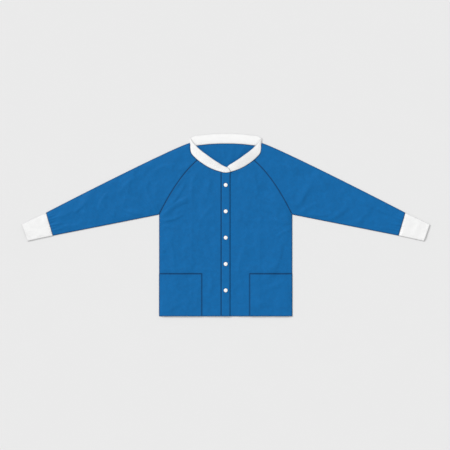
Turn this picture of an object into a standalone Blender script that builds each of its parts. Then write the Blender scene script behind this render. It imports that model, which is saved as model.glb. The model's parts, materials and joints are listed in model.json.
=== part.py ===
"""Disposable warm-up jacket, laid flat on its back with the front up and the sleeves out.

Units here are millimetres; MM turns them into metres when a mesh is made. +X is the viewer's right
(the wearer's left), +Y runs from hem to collar, +Z is up, and the jacket rests on z = 0.

Every cloth piece is a wall. The back and the lower halves of the sleeves lie flat on the surface.
The fronts and the upper halves of the sleeves lie on them, and share one height function, underside(),
so that they meet at the raglan seams. Pieces that are sewn together stay SEAM apart.
"""

import math

import bmesh
import bpy
import numpy as np

MM = 0.001

# ---------------------------------------------------------------- driving dimensions, in millimetres
CLOTH = 1.0  # wall of the nonwoven cloth
RIB = 2.0  # wall of the rib knit
SEAM = 0.3  # room between pieces

HEM_Y = -399.0
NECK_Y = 226.5  # the neckline seam at the centre front
SIDE_X = 290.0  # half the chest, laid flat
UNDERARM = (290.0, 44.0)
CUFF_TOP = (783.0, 52.5)  # where sleeve and cuff meet, at the shoulder fold
CUFF_UNDER = (753.5, -48.0)  # and at the underarm
CUFF_END_TOP = (890.0, 1.5)
CUFF_END_UNDER = (864.0, -72.0)
SHOULDER = (156.2, 356.4)  # where the shoulder fold meets the collar

NECK_CORNER_X = 122.0  # front raglan seam at the neck
BACK_CORNER_X = 140.0  # back raglan seam at the neck

BAND_HALF = 20.0  # half the placket band, which is how far the fronts lap
POCKET_X = 104.0  # inner edge of a pocket
POCKET_TOP = -213.7

SNAP_COUNT = 5
SNAP_PITCH = 114.7
SNAP_LOWEST = 113.0  # the lowest snap's height above the hem
SNAP_HOLE_R = 1.9

LOFT = 2.2  # how far the upper layer swells off the lower one
LOFT_REACH = 45.0  # over this distance from a closed edge
LAP_LOFT = 1.1  # swell left along the centre front, over the snap flanges
LAP_FADE = 75.0  # width over which the fronts settle beside the centre front
CUFF_LOFT = 1.2
CUFF_REACH = 30.0

FLOOR_TOP = CLOTH + SEAM  # the lowest that the upper layer lies
LEFT_LAP_Z = FLOOR_TOP + LAP_LOFT  # underside of the left front along the centre front
COLLAR_LAP_Z = 5.0  # underside of the collar's upper end there

# ------------------------------------------------------------------------------- outline curves
# Cubic curves, as their four control points, on the side of +X.
FRONT_RAGLAN = ((NECK_CORNER_X, 282.0), (175.0, 238.0), (232.0, 162.0), UNDERARM)
BACK_RAGLAN = ((BACK_CORNER_X, 344.2), (186.0, 282.0), (248.0, 142.0), UNDERARM)
SHOULDER_LINE = (SHOULDER, (215.0, 340.0), (560.0, 168.0), CUFF_TOP)

# Stations across the lap at the centre front, each with the height of the placket band's underside.
LAP = ((-20.0, 4.7), (-14.5, 5.9), (-9.5, 6.6), (9.5, 6.6), (14.5, 5.9), (20.0, 4.7))
# Stations across a front, from the band to the side seam.
FRONT_STATIONS = (20.0, 46.0, 75.0, 104.0, 122.0, 150.0, 180.0, 210.0, 238.0, 262.0, 278.0, 286.0, 290.0)
BAND_EDGE_Z = LAP[0][1]
BAND_CROWN_Z = max(height for _, height in LAP)
# Stations down the back raglan seam, after its corner at the neck.
BACK_STATIONS = (165.0, 190.0, 215.0, 240.0, 262.0, 279.0, 290.0)
# Heights of the straight rows of a front, up to where the raglan seam begins to cut them.
STRAIGHT_ROWS = (HEM_Y, -365.0, -320.0, -268.0, POCKET_TOP, -165.0, -120.0, -75.0, -30.0, 15.0)
UPPER_ROWS = 5

# Front half of the collar: each row is a section across the rib band.
# seam x, seam y, free edge x, free edge y, lift of the free edge
COLLAR_FRONT = (
    (20.0, 230.0, 12.0, 257.5, 2.0),
    (46.0, 238.0, 30.0, 269.0, 4.5),
    (75.0, 250.5, 53.0, 283.5, 7.0),
    (104.0, 268.5, 79.0, 302.0, 8.0),
    (122.0, 282.0, 96.0, 314.5, 7.6),
    (136.0, 295.0, 110.5, 326.0, 6.4),
    (150.0, 312.0, 128.0, 342.5, 4.2),
    (153.5, 331.0, 143.5, 360.5, 1.6),
)
COLLAR_FOLD = (154.7, 349.0, 157.0, 378.0)  # the fold at the side: seam x, y, free edge x, y
BESIDE_COLLAR = ((155.2, 349.0),)  # the sleeve's upper layer beside that fold
UNDER_COLLAR = ((154.6, 346.4),)  # and its lower layer
# Back half of the collar, from the side to the centre back: seam x, seam y, free edge x, free edge y
COLLAR_BACK = (
    (140.0, 344.5, 141.0, 387.5),
    (112.0, 346.8, 113.0, 391.5),
    (75.0, 350.8, 76.0, 395.5),
    (38.0, 353.0, 38.0, 398.2),
    (0.0, 353.5, 0.0, 399.0),
)
# Ends of the collar at the centre front, where they lap and are rounded off: seam x, free edge x and y
COLLAR_OVER_END = ((-9.5, -4.5, 254.0), (9.5, 9.0, 249.0), (14.5, 14.0, 243.0), (20.0, 20.0, 232.5))
COLLAR_UNDER_END = ((9.5, 4.0, 252.5), (-9.5, -9.0, 248.0), (-14.5, -14.0, 243.0), (-20.0, -20.0, 232.5))

# The largest soft folds of the upper layer.
# x and y where it starts, x and y where it ends, half its width, its height
FOLDS = (
    (-262.0, 40.0, -150.0, 150.0, 30.0, 1.2),  # right underarm to chest
    (-225.0, -40.0, -205.0, -190.0, 34.0, 0.9),  # right side
    (-95.0, 120.0, -85.0, -60.0, 36.0, 0.8),  # right chest
    (255.0, 25.0, 168.0, 168.0, 28.0, 1.1),  # left underarm to chest
    (228.0, -90.0, 188.0, -205.0, 34.0, 1.0),  # left side
    (95.0, 60.0, 110.0, -120.0, 38.0, 0.7),  # left chest
    (-300.0, 90.0, -420.0, 175.0, 26.0, 1.3),  # right upper sleeve
    (-500.0, 60.0, -620.0, 90.0, 24.0, 1.0),  # right elbow
    (305.0, 110.0, 395.0, 190.0, 26.0, 1.2),  # left upper sleeve
    (470.0, 130.0, 590.0, 60.0, 24.0, 1.1),  # left elbow
)

SLEEVE_RINGS = 15
CUFF_RINGS = 5
CUFF_SPLITS = 8
ARC_STEPS = 4  # facets round a folded edge
SNAP_SIDES = 16


# ------------------------------------------------------------------------------- plan geometry
def cubic(control, count=200):
    """Points along the cubic curve of four control points."""
    t = np.linspace(0.0, 1.0, count)[:, None]
    a, b, c, d = (np.array(point) for point in control)
    return (1 - t) ** 3 * a + 3 * (1 - t) ** 2 * t * b + 3 * (1 - t) * t**2 * c + t**3 * d


def height_on(control, x):
    """The y of a curve at each x."""
    points = cubic(control)
    return np.interp(x, points[:, 0], points[:, 1])


def neckline_y(x):
    """The y of the front neckline seam at each x up to the raglan corner."""
    xs, ys = np.array([row[:2] for row in COLLAR_FRONT if row[0] <= NECK_CORNER_X]).T
    across = np.abs(x)
    lap = NECK_Y + (ys[0] - NECK_Y) * (across / BAND_HALF) ** 2
    return np.where(across < BAND_HALF, lap, np.interp(across, xs, ys))


def front_top(x):
    """The y of a front's upper edge: the neckline, then the raglan seam."""
    return np.where(x <= NECK_CORNER_X, neckline_y(x), height_on(FRONT_RAGLAN, x))


def moved_left(points, distance):
    """A polyline moved sideways, to the left of its own direction."""
    points = np.asarray(points, float)
    steps = np.diff(points, axis=0)
    steps /= np.linalg.norm(steps, axis=1)[:, None]
    normals = np.stack([-steps[:, 1], steps[:, 0]], 1)
    before = np.vstack([normals[:1], normals])
    after = np.vstack([normals, normals[-1:]])
    middle = before + after
    middle /= np.linalg.norm(middle, axis=1)[:, None]
    return points + middle * (distance / (middle * before).sum(1))[:, None]


def shares(points):
    """How far along a polyline each of its points lies, from 0 to 1."""
    lengths = np.linalg.norm(np.diff(points, axis=0), axis=1)
    return np.concatenate([[0.0], np.cumsum(lengths)]) / lengths.sum()


def distance_to(x, y, line):
    """The distance of each point to the nearest stretch of a polyline."""
    nearest = np.full(np.shape(x), np.inf)
    for (ax, ay), (bx, by) in zip(line[:-1], line[1:]):
        dx, dy = bx - ax, by - ay
        t = np.clip(((x - ax) * dx + (y - ay) * dy) / (dx * dx + dy * dy), 0.0, 1.0)
        nearest = np.minimum(nearest, np.hypot(x - ax - t * dx, y - ay - t * dy))
    return nearest


def smooth(t):
    """A soft step from 0 to 1."""
    t = np.clip(t, 0.0, 1.0)
    return t * t * (3 - 2 * t)


def rounded(distance, reach):
    """A quarter ellipse that rises from 0 at an edge to 1 at reach."""
    t = np.clip(distance / reach, 0.0, 1.0)
    return np.sqrt(1 - (1 - t) ** 2)


# ------------------------------------------------------------------------------- height of the upper layer
CLOSED_EDGES = (
    ((SIDE_X, HEM_Y), UNDERARM, CUFF_UNDER),
    tuple(map(tuple, cubic(SHOULDER_LINE, 9))),
)


def underside(x, y):
    """The height of the upper layer's lower face: it leaves the lower layer at the side seams,
    underarms and shoulder folds, swells by LOFT and carries the folds, and lies low at the front lap."""
    away = np.minimum(*(distance_to(np.abs(x), y, edge) for edge in CLOSED_EDGES))
    swell = np.full(np.shape(x), LOFT - LAP_LOFT)
    for ax, ay, bx, by, half_width, height in FOLDS:
        gap = distance_to(x, y, ((ax, ay), (bx, by)))
        swell = swell + height * np.exp(-((gap / half_width) ** 2))
    beside_lap = smooth((np.abs(x) - BAND_HALF) / LAP_FADE)
    edge_radius = CLOTH + SEAM / 2
    return FLOOR_TOP + rounded(away - edge_radius, LOFT_REACH) * (LAP_LOFT + beside_lap * swell)


def right_rise(x):
    """How much higher the right front lies than the left, where it climbs to the band."""
    return (BAND_EDGE_Z - LEFT_LAP_Z) * (1 - smooth((np.abs(x) - BAND_HALF) / LAP_FADE))


# ------------------------------------------------------------------------------- mesh makers
def clear_scene():
    for item in list(bpy.data.objects):
        bpy.data.objects.remove(item, do_unlink=True)


def material(name, color, roughness):
    made = bpy.data.materials.new(name)
    made.use_nodes = True
    shader = made.node_tree.nodes["Principled BSDF"]
    shader.inputs["Base Color"].default_value = (*color, 1.0)
    shader.inputs["Roughness"].default_value = roughness
    shader.inputs["Metallic"].default_value = 0.0
    return made


def add_piece(name, points, faces, finish, round_shape=False):
    """A closed solid from points in millimetres, its faces turned outwards."""
    mesh = bpy.data.meshes.new(name)
    body = bmesh.new()
    corners = [body.verts.new((p[0] * MM, p[1] * MM, p[2] * MM)) for p in points]
    for face in faces:
        body.faces.new([corners[i] for i in face])
    bmesh.ops.triangulate(body, faces=body.faces[:])
    if body.calc_volume(signed=True) < 0:
        bmesh.ops.reverse_faces(body, faces=body.faces[:])
    body.to_mesh(mesh)
    body.free()
    if round_shape:
        mesh.shade_smooth()
        mesh.set_sharp_from_angle(angle=math.radians(35))
    mesh.materials.append(finish)
    made = bpy.data.objects.new(name, mesh)
    bpy.context.scene.collection.objects.link(made)
    return made


def quads(rows, columns, start=0, around=False):
    """Four-cornered faces of a grid of points, its last column joined to its first when around."""
    spans = columns if around else columns - 1
    return [
        (
            start + i * columns + j,
            start + i * columns + (j + 1) % columns,
            start + (i + 1) * columns + (j + 1) % columns,
            start + (i + 1) * columns + j,
        )
        for i in range(rows - 1)
        for j in range(spans)
    ]


def add_sheet(name, low, high, finish):
    """A wall between two grids of points of one shape (rows, columns, 3)."""
    rows, columns = low.shape[:2]
    count = rows * columns
    faces = [face[::-1] for face in quads(rows, columns)] + quads(rows, columns, count)
    rim = list(range(columns))
    rim += [i * columns + columns - 1 for i in range(1, rows)]
    rim += [(rows - 1) * columns + j for j in range(columns - 2, -1, -1)]
    rim += [i * columns for i in range(rows - 2, 0, -1)]
    faces += [(a, b, b + count, a + count) for a, b in zip(rim, rim[1:] + rim[:1])]
    return add_piece(name, np.concatenate([low.reshape(-1, 3), high.reshape(-1, 3)]), faces, finish)


def add_tube(name, outer, inner, finish):
    """An open tube between outer and inner rings of points (rings, points round, 3)."""
    rings, around = outer.shape[:2]
    count = rings * around
    faces = quads(rings, around, 0, True) + [face[::-1] for face in quads(rings, around, count, True)]
    for ring in (0, rings - 1):
        for j in range(around):
            a, b = ring * around + j, ring * around + (j + 1) % around
            end = (a, a + count, b + count, b)
            faces.append(end if ring == 0 else end[::-1])
    return add_piece(name, np.concatenate([outer.reshape(-1, 3), inner.reshape(-1, 3)]), faces, finish)


def add_plate(name, outline, low, high, finish):
    """A flat panel: an outline between two heights."""
    count = len(outline)
    points = [(x, y, low) for x, y in outline] + [(x, y, high) for x, y in outline]
    faces = [tuple(range(count))[::-1], tuple(range(count, 2 * count))]
    faces += [(i, (i + 1) % count, (i + 1) % count + count, i + count) for i in range(count)]
    return add_piece(name, points, faces, finish)


def add_turned(name, profile, x, y, finish):
    """A solid turned about the upright axis at x, y, from (radius, height) pairs that end on the axis."""
    turns = np.linspace(0.0, 2 * math.pi, SNAP_SIDES, endpoint=False)
    rim = np.array(profile[1:-1])
    ring = np.stack([np.cos(turns), np.sin(turns)], 1)
    points = [(x + r * c, y + r * s, z) for r, z in rim for c, s in ring]
    faces = quads(len(rim), SNAP_SIDES, 0, True)
    top, bottom = len(points), len(points) + 1
    points += [(x, y, profile[0][1]), (x, y, profile[-1][1])]
    last = (len(rim) - 1) * SNAP_SIDES
    for j in range(SNAP_SIDES):
        k = (j + 1) % SNAP_SIDES
        faces += [(top, k, j), (bottom, last + j, last + k)]
    return add_piece(name, points, faces, finish, round_shape=True)


# ------------------------------------------------------------------------------- body panels
def add_back(finish):
    """Hem, side seams, back raglan seams and the arch of the back neck, lying flat."""
    neck = [(row[0], row[1] - SEAM) for row in COLLAR_BACK[::-1]]
    raglan = [(x, float(height_on(BACK_RAGLAN, x))) for x in BACK_STATIONS]
    right_half = neck + raglan + [(SIDE_X, HEM_Y)]
    left_half = [(-x, y) for x, y in right_half[:0:-1]]
    return add_plate("back_panel", right_half + left_half, 0.0, CLOTH, finish)


def front_grid(side):
    """Plan points of a front, rows from hem to neck, columns from the centre front to the side seam."""
    stations = np.array(FRONT_STATIONS)
    if side > 0:
        stations = np.concatenate([[station for station, _ in LAP[:-1]], stations])
    else:
        stations[0] += SEAM
    top = front_top(stations)
    rows = [np.full(len(stations), y) for y in STRAIGHT_ROWS]
    rows += [STRAIGHT_ROWS[-1] + (top - STRAIGHT_ROWS[-1]) * (i + 1) / UPPER_ROWS for i in range(UPPER_ROWS)]
    y = np.array(rows)
    return np.broadcast_to(stations, y.shape) * side, y


def front_low(x, y, side):
    """The lower face of a front."""
    z = underside(x, y)
    if side < 0:
        z = z + right_rise(x)
    return np.stack([x, y, z], 2)


def lifted(points, height):
    """Points moved straight up."""
    return points + np.array([0.0, 0.0, height])


def add_front(name, side, finish):
    low = front_low(*front_grid(side), side)
    return add_sheet(name, low, lifted(low, CLOTH), finish)


def add_pocket(name, side, finish):
    """A square patch on the front's own points, moved out by one wall and the seam room."""
    x, y = front_grid(side)
    rows = y[:, -1] <= POCKET_TOP
    columns = np.abs(x[0]) >= POCKET_X
    low = lifted(front_low(x, y, side)[rows][:, columns], CLOTH + SEAM)
    return add_sheet(name, low, lifted(low, CLOTH), finish)


def snap_places():
    return [HEM_Y + SNAP_LOWEST + SNAP_PITCH * i for i in range(SNAP_COUNT)]


def add_band(finish):
    """The placket strip: crowned across, level along, from hem to neckline."""
    x, z = np.array(LAP).T
    between_snaps = [y + SNAP_PITCH / 2 for y in snap_places()[:-1]]
    rows = [np.full(len(x), y) for y in [HEM_Y, *between_snaps]] + [neckline_y(x)]
    y = np.array(rows)
    low = np.stack([np.broadcast_to(x, y.shape), y, np.broadcast_to(z, y.shape)], 2)
    return add_sheet("front_band", low, lifted(low, CLOTH), finish)


def cut_snap_holes(pieces):
    """Round holes through the band and the left front, for the posts of the snaps."""
    turns = np.linspace(0.0, 2 * math.pi, SNAP_SIDES, endpoint=False)
    points, faces = [], []
    for y in snap_places():
        start = len(points)
        for z in (0.0, 10.0):
            points += [(SNAP_HOLE_R * math.cos(t), y + SNAP_HOLE_R * math.sin(t), z) for t in turns]
        faces += quads(2, SNAP_SIDES, start, True)
        faces.append(tuple(range(start + SNAP_SIDES - 1, start - 1, -1)))
        faces.append(tuple(range(start + SNAP_SIDES, start + 2 * SNAP_SIDES)))
    cutter = add_piece("snap_hole_cutter", points, faces, pieces[0].data.materials[0])
    cutter.hide_render = True
    cutter.display_type = "WIRE"
    for piece in pieces:
        hole = piece.modifiers.new("snap holes", "BOOLEAN")
        hole.operation = "DIFFERENCE"
        hole.solver = "EXACT"
        hole.object = cutter


# ------------------------------------------------------------------------------- sleeves and cuffs
def folded_ring(upper, lower, shoulder_out, under_out, wall, upper_low):
    """One section of a flattened tube, as its outer and inner points.

    upper and lower are plan points from underarm to shoulder whose two ends lie on the outline.
    upper_low gives the height of the upper layer's lower face. Half circles join the layers."""
    radius = wall + SEAM / 2
    upper, lower = upper.copy(), lower.copy()
    for line in (upper, lower):
        line[0] -= radius * under_out
        line[-1] -= radius * shoulder_out
    z = upper_low(upper[:, 0], upper[:, 1])
    z[[0, -1]] = wall + SEAM
    bend = np.linspace(math.pi / 2, -math.pi / 2, ARC_STEPS + 1)[1:-1]

    def arc(center, out, size):
        flat = center + size * np.cos(bend)[:, None] * out
        return np.column_stack([flat, radius + size * np.sin(bend)])

    def layer(line, height):
        return np.column_stack([line, np.broadcast_to(height, len(line))])

    outer = [
        layer(upper, z + wall),
        arc(upper[-1], shoulder_out, radius),
        layer(lower[::-1], 0.0),
        arc(lower[0], under_out, radius)[::-1],
    ]
    inner = [
        layer(upper, z),
        arc(upper[-1], shoulder_out, SEAM / 2),
        layer(lower[::-1], wall),
        arc(lower[0], under_out, SEAM / 2)[::-1],
    ]
    return np.vstack(outer), np.vstack(inner)


def unit(vector):
    return vector / np.linalg.norm(vector)


def left_of(start, end):
    """The unit normal of a line, to its left."""
    dx, dy = end[0] - start[0], end[1] - start[1]
    return unit(np.array([-dy, dx]))


def sleeve_start():
    """Plan lines of a sleeve's open end, from underarm to shoulder: along the front raglan seam and the
    neck for the upper layer, and along the back raglan seam and the neck for the lower one."""
    front_x = np.array([x for x in FRONT_STATIONS if x >= NECK_CORNER_X][::-1])
    front = moved_left(np.stack([front_x, front_top(front_x)], 1), -SEAM)
    neck = [(row[0], row[1]) for row in COLLAR_FRONT if row[0] > NECK_CORNER_X]
    upper = np.vstack([front, neck, BESIDE_COLLAR, [SHOULDER]])
    back_x = np.array(BACK_STATIONS[::-1] + (BACK_CORNER_X,))
    back = moved_left(np.stack([back_x, height_on(BACK_RAGLAN, back_x)], 1), -SEAM)
    lower = np.vstack([back, UNDER_COLLAR, [SHOULDER]])
    lower[0] = upper[0]
    return upper, lower


def add_sleeve(name, side, finish):
    """A flattened tube: each section runs between the raglan seam and the cuff seam."""
    start_upper, start_lower = sleeve_start()
    cuff_top, cuff_under = np.array(CUFF_TOP), np.array(CUFF_UNDER)
    seam_up = unit(cuff_top - cuff_under)

    def upper_low(x, y):
        return underside(x * side, y)

    rings = []
    for s in np.linspace(0.0, 1.0, SLEEVE_RINGS):
        shoulder_out = unit((1 - s) * left_of(SHOULDER, CUFF_TOP) + s * seam_up)
        under_out = unit((s - 1) * left_of(UNDERARM, CUFF_UNDER) - s * seam_up)
        lines = []
        for start in (start_upper, start_lower):
            across = shares(start)[:, None]
            line = (1 - s) * start + s * (cuff_under + across * (cuff_top - cuff_under))
            straight_x, straight_y = line[-1]
            line[:, 1] += across[:, 0] * (height_on(SHOULDER_LINE, straight_x) - straight_y)
            lines.append(line)
        rings.append(folded_ring(*lines, shoulder_out, under_out, CLOTH, upper_low))
    outer, inner = (np.array([ring[k] for ring in rings]) for k in (0, 1))
    mirror = np.array([side, 1.0, 1.0])
    return add_tube(name, outer * mirror, inner * mirror, finish)


def cuff_underside(x, y):
    """The height of a cuff's upper layer: a low swell between its two folded edges."""
    edges = ((CUFF_TOP, CUFF_END_TOP), (CUFF_UNDER, CUFF_END_UNDER))
    away = np.minimum(*(distance_to(x, y, edge) for edge in edges))
    radius = RIB + SEAM / 2
    return RIB + SEAM + CUFF_LOFT * rounded(away - radius, CUFF_REACH)


def add_cuff(name, side, finish):
    """A flattened rib tube that narrows to the wrist."""
    start = np.array([CUFF_UNDER, CUFF_TOP]) - SEAM * left_of(CUFF_UNDER, CUFF_TOP)
    end = np.array([CUFF_END_UNDER, CUFF_END_TOP])
    across = np.linspace(0.0, 1.0, CUFF_SPLITS + 1)[:, None]
    rings = []
    for s in np.linspace(0.0, 1.0, CUFF_RINGS):
        ends = (1 - s) * start + s * end
        up = unit(ends[1] - ends[0])
        upper = ends[0] + across * (ends[1] - ends[0])
        lower = upper[::2]
        rings.append(folded_ring(upper, lower, up, -up, RIB, cuff_underside))
    outer, inner = (np.array([ring[k] for ring in rings]) for k in (0, 1))
    mirror = np.array([side, 1.0, 1.0])
    return add_tube(name, outer * mirror, inner * mirror, finish)


# ------------------------------------------------------------------------------- collar
def collar_front_sections(side):
    """Sections of one front half, from the centre to the side: middle of the wall at the seam and at the
    free edge, and the upright direction of its outer face."""
    seam = np.array([row[:2] for row in COLLAR_FRONT])
    seam = moved_left(seam, SEAM)
    sections = []
    for (x, y), (_, _, free_x, free_y, lift) in zip(seam, COLLAR_FRONT):
        low = float(underside(np.array(x * side), np.array(y)))
        if side < 0:
            low += float(right_rise(np.array(x)))
        low = max(low, RIB + SEAM)
        if side < 0 and x <= BAND_HALF:
            low = COLLAR_LAP_Z
        middle = low + RIB / 2
        sections.append(((x * side, y, middle), (free_x * side, free_y, middle + lift), (0.0, 0.0, 1.0)))
    return sections


def collar_fold_sections(side):
    """Sections round the fold at the side, from the upper layer to the lower one."""
    seam_x, seam_y, free_x, free_y = COLLAR_FOLD
    radius = RIB + SEAM / 2
    middle = (RIB + SEAM) / 2
    sections = []
    for bend in np.linspace(math.pi / 2, -math.pi / 2, ARC_STEPS + 3):
        out = np.array([side * math.cos(bend), 0.0, math.sin(bend)])
        points = []
        for x, y in ((seam_x, seam_y), (free_x, free_y)):
            center = np.array([side * (x - radius), y, radius])
            points.append(tuple(center + middle * out))
        sections.append((points[0], points[1], tuple(out)))
    return sections


def collar_back_sections(side):
    """Sections of one back half, from the side to the centre back, lying flat with the outer face down."""
    z = RIB / 2
    return [
        ((x * side, y, z), (free_x * side, free_y, z), (0.0, 0.0, -1.0))
        for x, y, free_x, free_y in COLLAR_BACK
    ]


def collar_end_sections(rows, low, lift):
    """Sections of a rounded end at the centre front."""
    middle = low + RIB / 2
    return [
        ((x, float(neckline_y(x)) + SEAM, middle), (free_x, free_y, middle + lift), (0.0, 0.0, 1.0))
        for x, free_x, free_y in rows
    ]


def add_collar(finish):
    """One rib band: under end, left front, left fold, back, right fold, right front and over end."""
    left_back = collar_back_sections(1)
    right_back = collar_back_sections(-1)
    sections = collar_end_sections(COLLAR_UNDER_END, LEFT_LAP_Z, 1.0)[::-1]
    sections += collar_front_sections(1) + collar_fold_sections(1) + left_back
    sections += right_back[-2::-1] + collar_fold_sections(-1)[::-1] + collar_front_sections(-1)[::-1]
    sections += collar_end_sections(COLLAR_OVER_END, COLLAR_LAP_Z, 1.5)
    seam, free, out = (np.array([section[k] for section in sections]) for k in range(3))
    across = np.array([0.0, 0.5, 1.0])[None, :, None]
    middle = seam[:, None] + across * (free - seam)[:, None]
    half = out[:, None] * RIB / 2
    return add_sheet("collar", middle - half, middle + half, finish)


# ------------------------------------------------------------------------------- snaps
def add_snaps(finish):
    """Each snap is two turned pieces: a cap with its post and socket, set through the band, and a flange
    with its post and stud, set through the left front. The stud stands inside the socket."""
    left_top = LEFT_LAP_Z + CLOTH
    plate_low = left_top + SEAM
    plate_top = plate_low + 0.6
    socket_low = plate_top + SEAM
    stud_top = plate_top + 0.9
    socket_roof = stud_top + SEAM
    socket_top = BAND_CROWN_Z - SEAM
    cap_low = BAND_CROWN_Z + CLOTH + SEAM
    post = SNAP_HOLE_R - SEAM
    cap_profile = (
        (0.0, cap_low + 1.8),
        (4.2, cap_low + 1.65),
        (7.0, cap_low + 1.1),
        (8.25, cap_low + 0.4),
        (8.0, cap_low),
        (post, cap_low),
        (post, socket_top),
        (5.5, socket_top),
        (5.5, socket_low),
        (2.6, socket_low),
        (2.6, socket_roof),
        (0.0, socket_roof),
    )
    stud_profile = (
        (0.0, stud_top),
        (1.9, stud_top),
        (2.3, stud_top - 0.3),
        (2.3, plate_top),
        (5.0, plate_top),
        (5.0, plate_low),
        (post, plate_low),
        (post, LEFT_LAP_Z - SEAM),
        (6.0, LEFT_LAP_Z - SEAM),
        (6.0, FLOOR_TOP),
        (0.0, FLOOR_TOP),
    )
    for number, y in enumerate(snap_places(), 1):
        add_turned(f"snap_cap_{number}", cap_profile, 0.0, y, finish)
        add_turned(f"snap_stud_{number}", stud_profile, 0.0, y, finish)


def main():
    clear_scene()
    cloth = material("nonwoven_blue", (0.0103, 0.1384, 0.3813), 0.75)
    rib = material("rib_knit_white", (0.87, 0.87, 0.86), 0.9)
    plastic = material("snap_white", (0.9, 0.9, 0.89), 0.35)
    add_back(cloth)
    add_front("front_right", -1, cloth)
    left = add_front("front_left", 1, cloth)
    band = add_band(cloth)
    cut_snap_holes([band, left])
    for word, side in (("right", -1), ("left", 1)):
        add_sleeve(f"sleeve_{word}", side, cloth)
        add_cuff(f"cuff_{word}", side, rib)
        add_pocket(f"pocket_{word}", side, cloth)
    add_collar(rib)
    add_snaps(plastic)


main()
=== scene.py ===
"""Looks of a disposable warm-up jacket that lies flat on its back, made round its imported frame.

Sizes here are millimetres unless a name says otherwise; MM turns them into metres when a mesh is made.
+X is the viewer's right (the wearer's left), +Y runs from hem to collar and +Z is up from the floor.

Every cloth piece is a closed thin shell. The upper layer of the fronts and sleeves shares one height
function, upper_top(), so that the panels meet along their seams.
"""

import json
import math

import bpy
import numpy as np
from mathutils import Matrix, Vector


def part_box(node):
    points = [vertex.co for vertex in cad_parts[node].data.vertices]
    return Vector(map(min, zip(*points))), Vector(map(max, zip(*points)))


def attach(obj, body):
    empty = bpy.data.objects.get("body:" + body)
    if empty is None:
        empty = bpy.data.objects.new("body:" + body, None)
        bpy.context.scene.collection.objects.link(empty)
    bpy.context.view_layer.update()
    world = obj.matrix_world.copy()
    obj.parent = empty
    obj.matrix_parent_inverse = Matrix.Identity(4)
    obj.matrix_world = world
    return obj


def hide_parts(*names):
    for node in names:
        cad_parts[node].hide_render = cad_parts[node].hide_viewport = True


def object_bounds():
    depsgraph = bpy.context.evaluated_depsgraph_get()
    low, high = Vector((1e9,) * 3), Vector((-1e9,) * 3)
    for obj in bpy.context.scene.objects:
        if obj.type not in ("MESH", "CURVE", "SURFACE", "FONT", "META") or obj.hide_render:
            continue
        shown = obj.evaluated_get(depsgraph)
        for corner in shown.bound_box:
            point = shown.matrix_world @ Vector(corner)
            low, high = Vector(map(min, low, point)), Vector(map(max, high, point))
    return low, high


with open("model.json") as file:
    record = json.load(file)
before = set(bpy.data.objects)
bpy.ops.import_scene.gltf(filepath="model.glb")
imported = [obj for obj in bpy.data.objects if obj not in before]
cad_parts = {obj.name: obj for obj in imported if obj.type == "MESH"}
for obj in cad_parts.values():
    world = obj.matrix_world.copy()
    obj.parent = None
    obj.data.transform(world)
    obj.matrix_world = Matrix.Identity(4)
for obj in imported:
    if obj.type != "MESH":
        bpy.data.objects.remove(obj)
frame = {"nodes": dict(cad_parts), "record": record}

bl_info = {
    "name": "Disposable warm-up jacket",
    "version": (1, 0, 0),
    "blender": (4, 5, 0),
    "location": "View3D > Sidebar > Jacket",
    "description": "Makes the cloth, rib knit, snaps and stitching of a jacket laid flat",
    "category": "Object",
}

MM = 0.001
CLOTH_SLOT, RIB_SLOT, SNAP_SLOT = (material["slot"] for material in frame["record"]["materials"])


# ---------------- places from the frame
def node_box(node):
    """Lowest and highest corner of a CAD node, in millimetres."""
    return tuple(np.array(corner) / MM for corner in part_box(node))


CAD_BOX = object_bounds()
BACK_LOW, BACK_HIGH = node_box("back_panel")
_, BAND_HIGH = node_box("front_band")
POCKET_LOW, POCKET_HIGH = node_box("pocket_left")
CUFF_LOW, CUFF_HIGH = node_box("cuff_left")
CAP_LOW, CAP_HIGH = node_box("snap_cap_1")

HEM_Y = float(BACK_LOW[1])
SIDE_X = float(BACK_HIGH[0])
BAND_HALF = float(BAND_HIGH[0])
POCKET_X = float(POCKET_LOW[0])
POCKET_TOP = float(POCKET_HIGH[1])
CAP_RADIUS = float(CAP_HIGH[0] - CAP_LOW[0]) / 2

# ---------------- the jacket's cut
CLOTH = 1.0  # room that a cloth layer takes in the frame
RIB = 2.0  # wall of the rib knit
SEAM = 0.3  # room between pieces in the frame
NECK_Y = 226.5  # neckline seam at the centre front
UNDERARM = (SIDE_X, 44.0)
CUFF_TOP = (783.0, float(CUFF_HIGH[1]))
CUFF_UNDER = (float(CUFF_LOW[0]), -48.0)
CUFF_END_TOP = (float(CUFF_HIGH[0]), 1.5)
CUFF_END_UNDER = (864.0, float(CUFF_LOW[1]))
SHOULDER = (156.2, 356.4)
NECK_CORNER_X = 122.0  # front raglan seam at the neck
BACK_CORNER_X = 140.0  # back raglan seam at the neck

LOFT = 2.2  # how far the upper layer swells off the lower one
LOFT_REACH = 45.0
LAP_LOFT = 1.1  # swell left along the centre front
LAP_FADE = 75.0
CUFF_LOFT = 1.2
CUFF_REACH = 30.0
FLOOR_TOP = CLOTH + SEAM
LEFT_LAP_Z = FLOOR_TOP + LAP_LOFT
COLLAR_LAP_Z = 5.0
EDGE_RADIUS = CLOTH + SEAM / 2  # of the folded edges of the cloth
CUFF_RADIUS = RIB + SEAM / 2
LOWEST_TOP = 1.75  # the upper layer's top is never lower, so that it stays off the lower layer
LOWEST_ROUNDING = 0.4
MOST_PRESSED = 0.4  # height of the deepest crease pressed up into a lower layer
BAND_CROWN_REACH = 11.0  # from the band's edge to where it lies level
LAP_DEPTH = 1.2  # how far the band sinks between two snaps
SNAP_HOLD = 17.0  # how far from a snap the band is held up
POCKET_LIFT = 1.1  # from the front to a pocket's outer side
POCKET_GAPE = 0.9  # more than that along its open top
POCKET_SWELL = 0.5  # and in its middle
HEM_TURN = 14.0  # width of the turned hem
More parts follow.
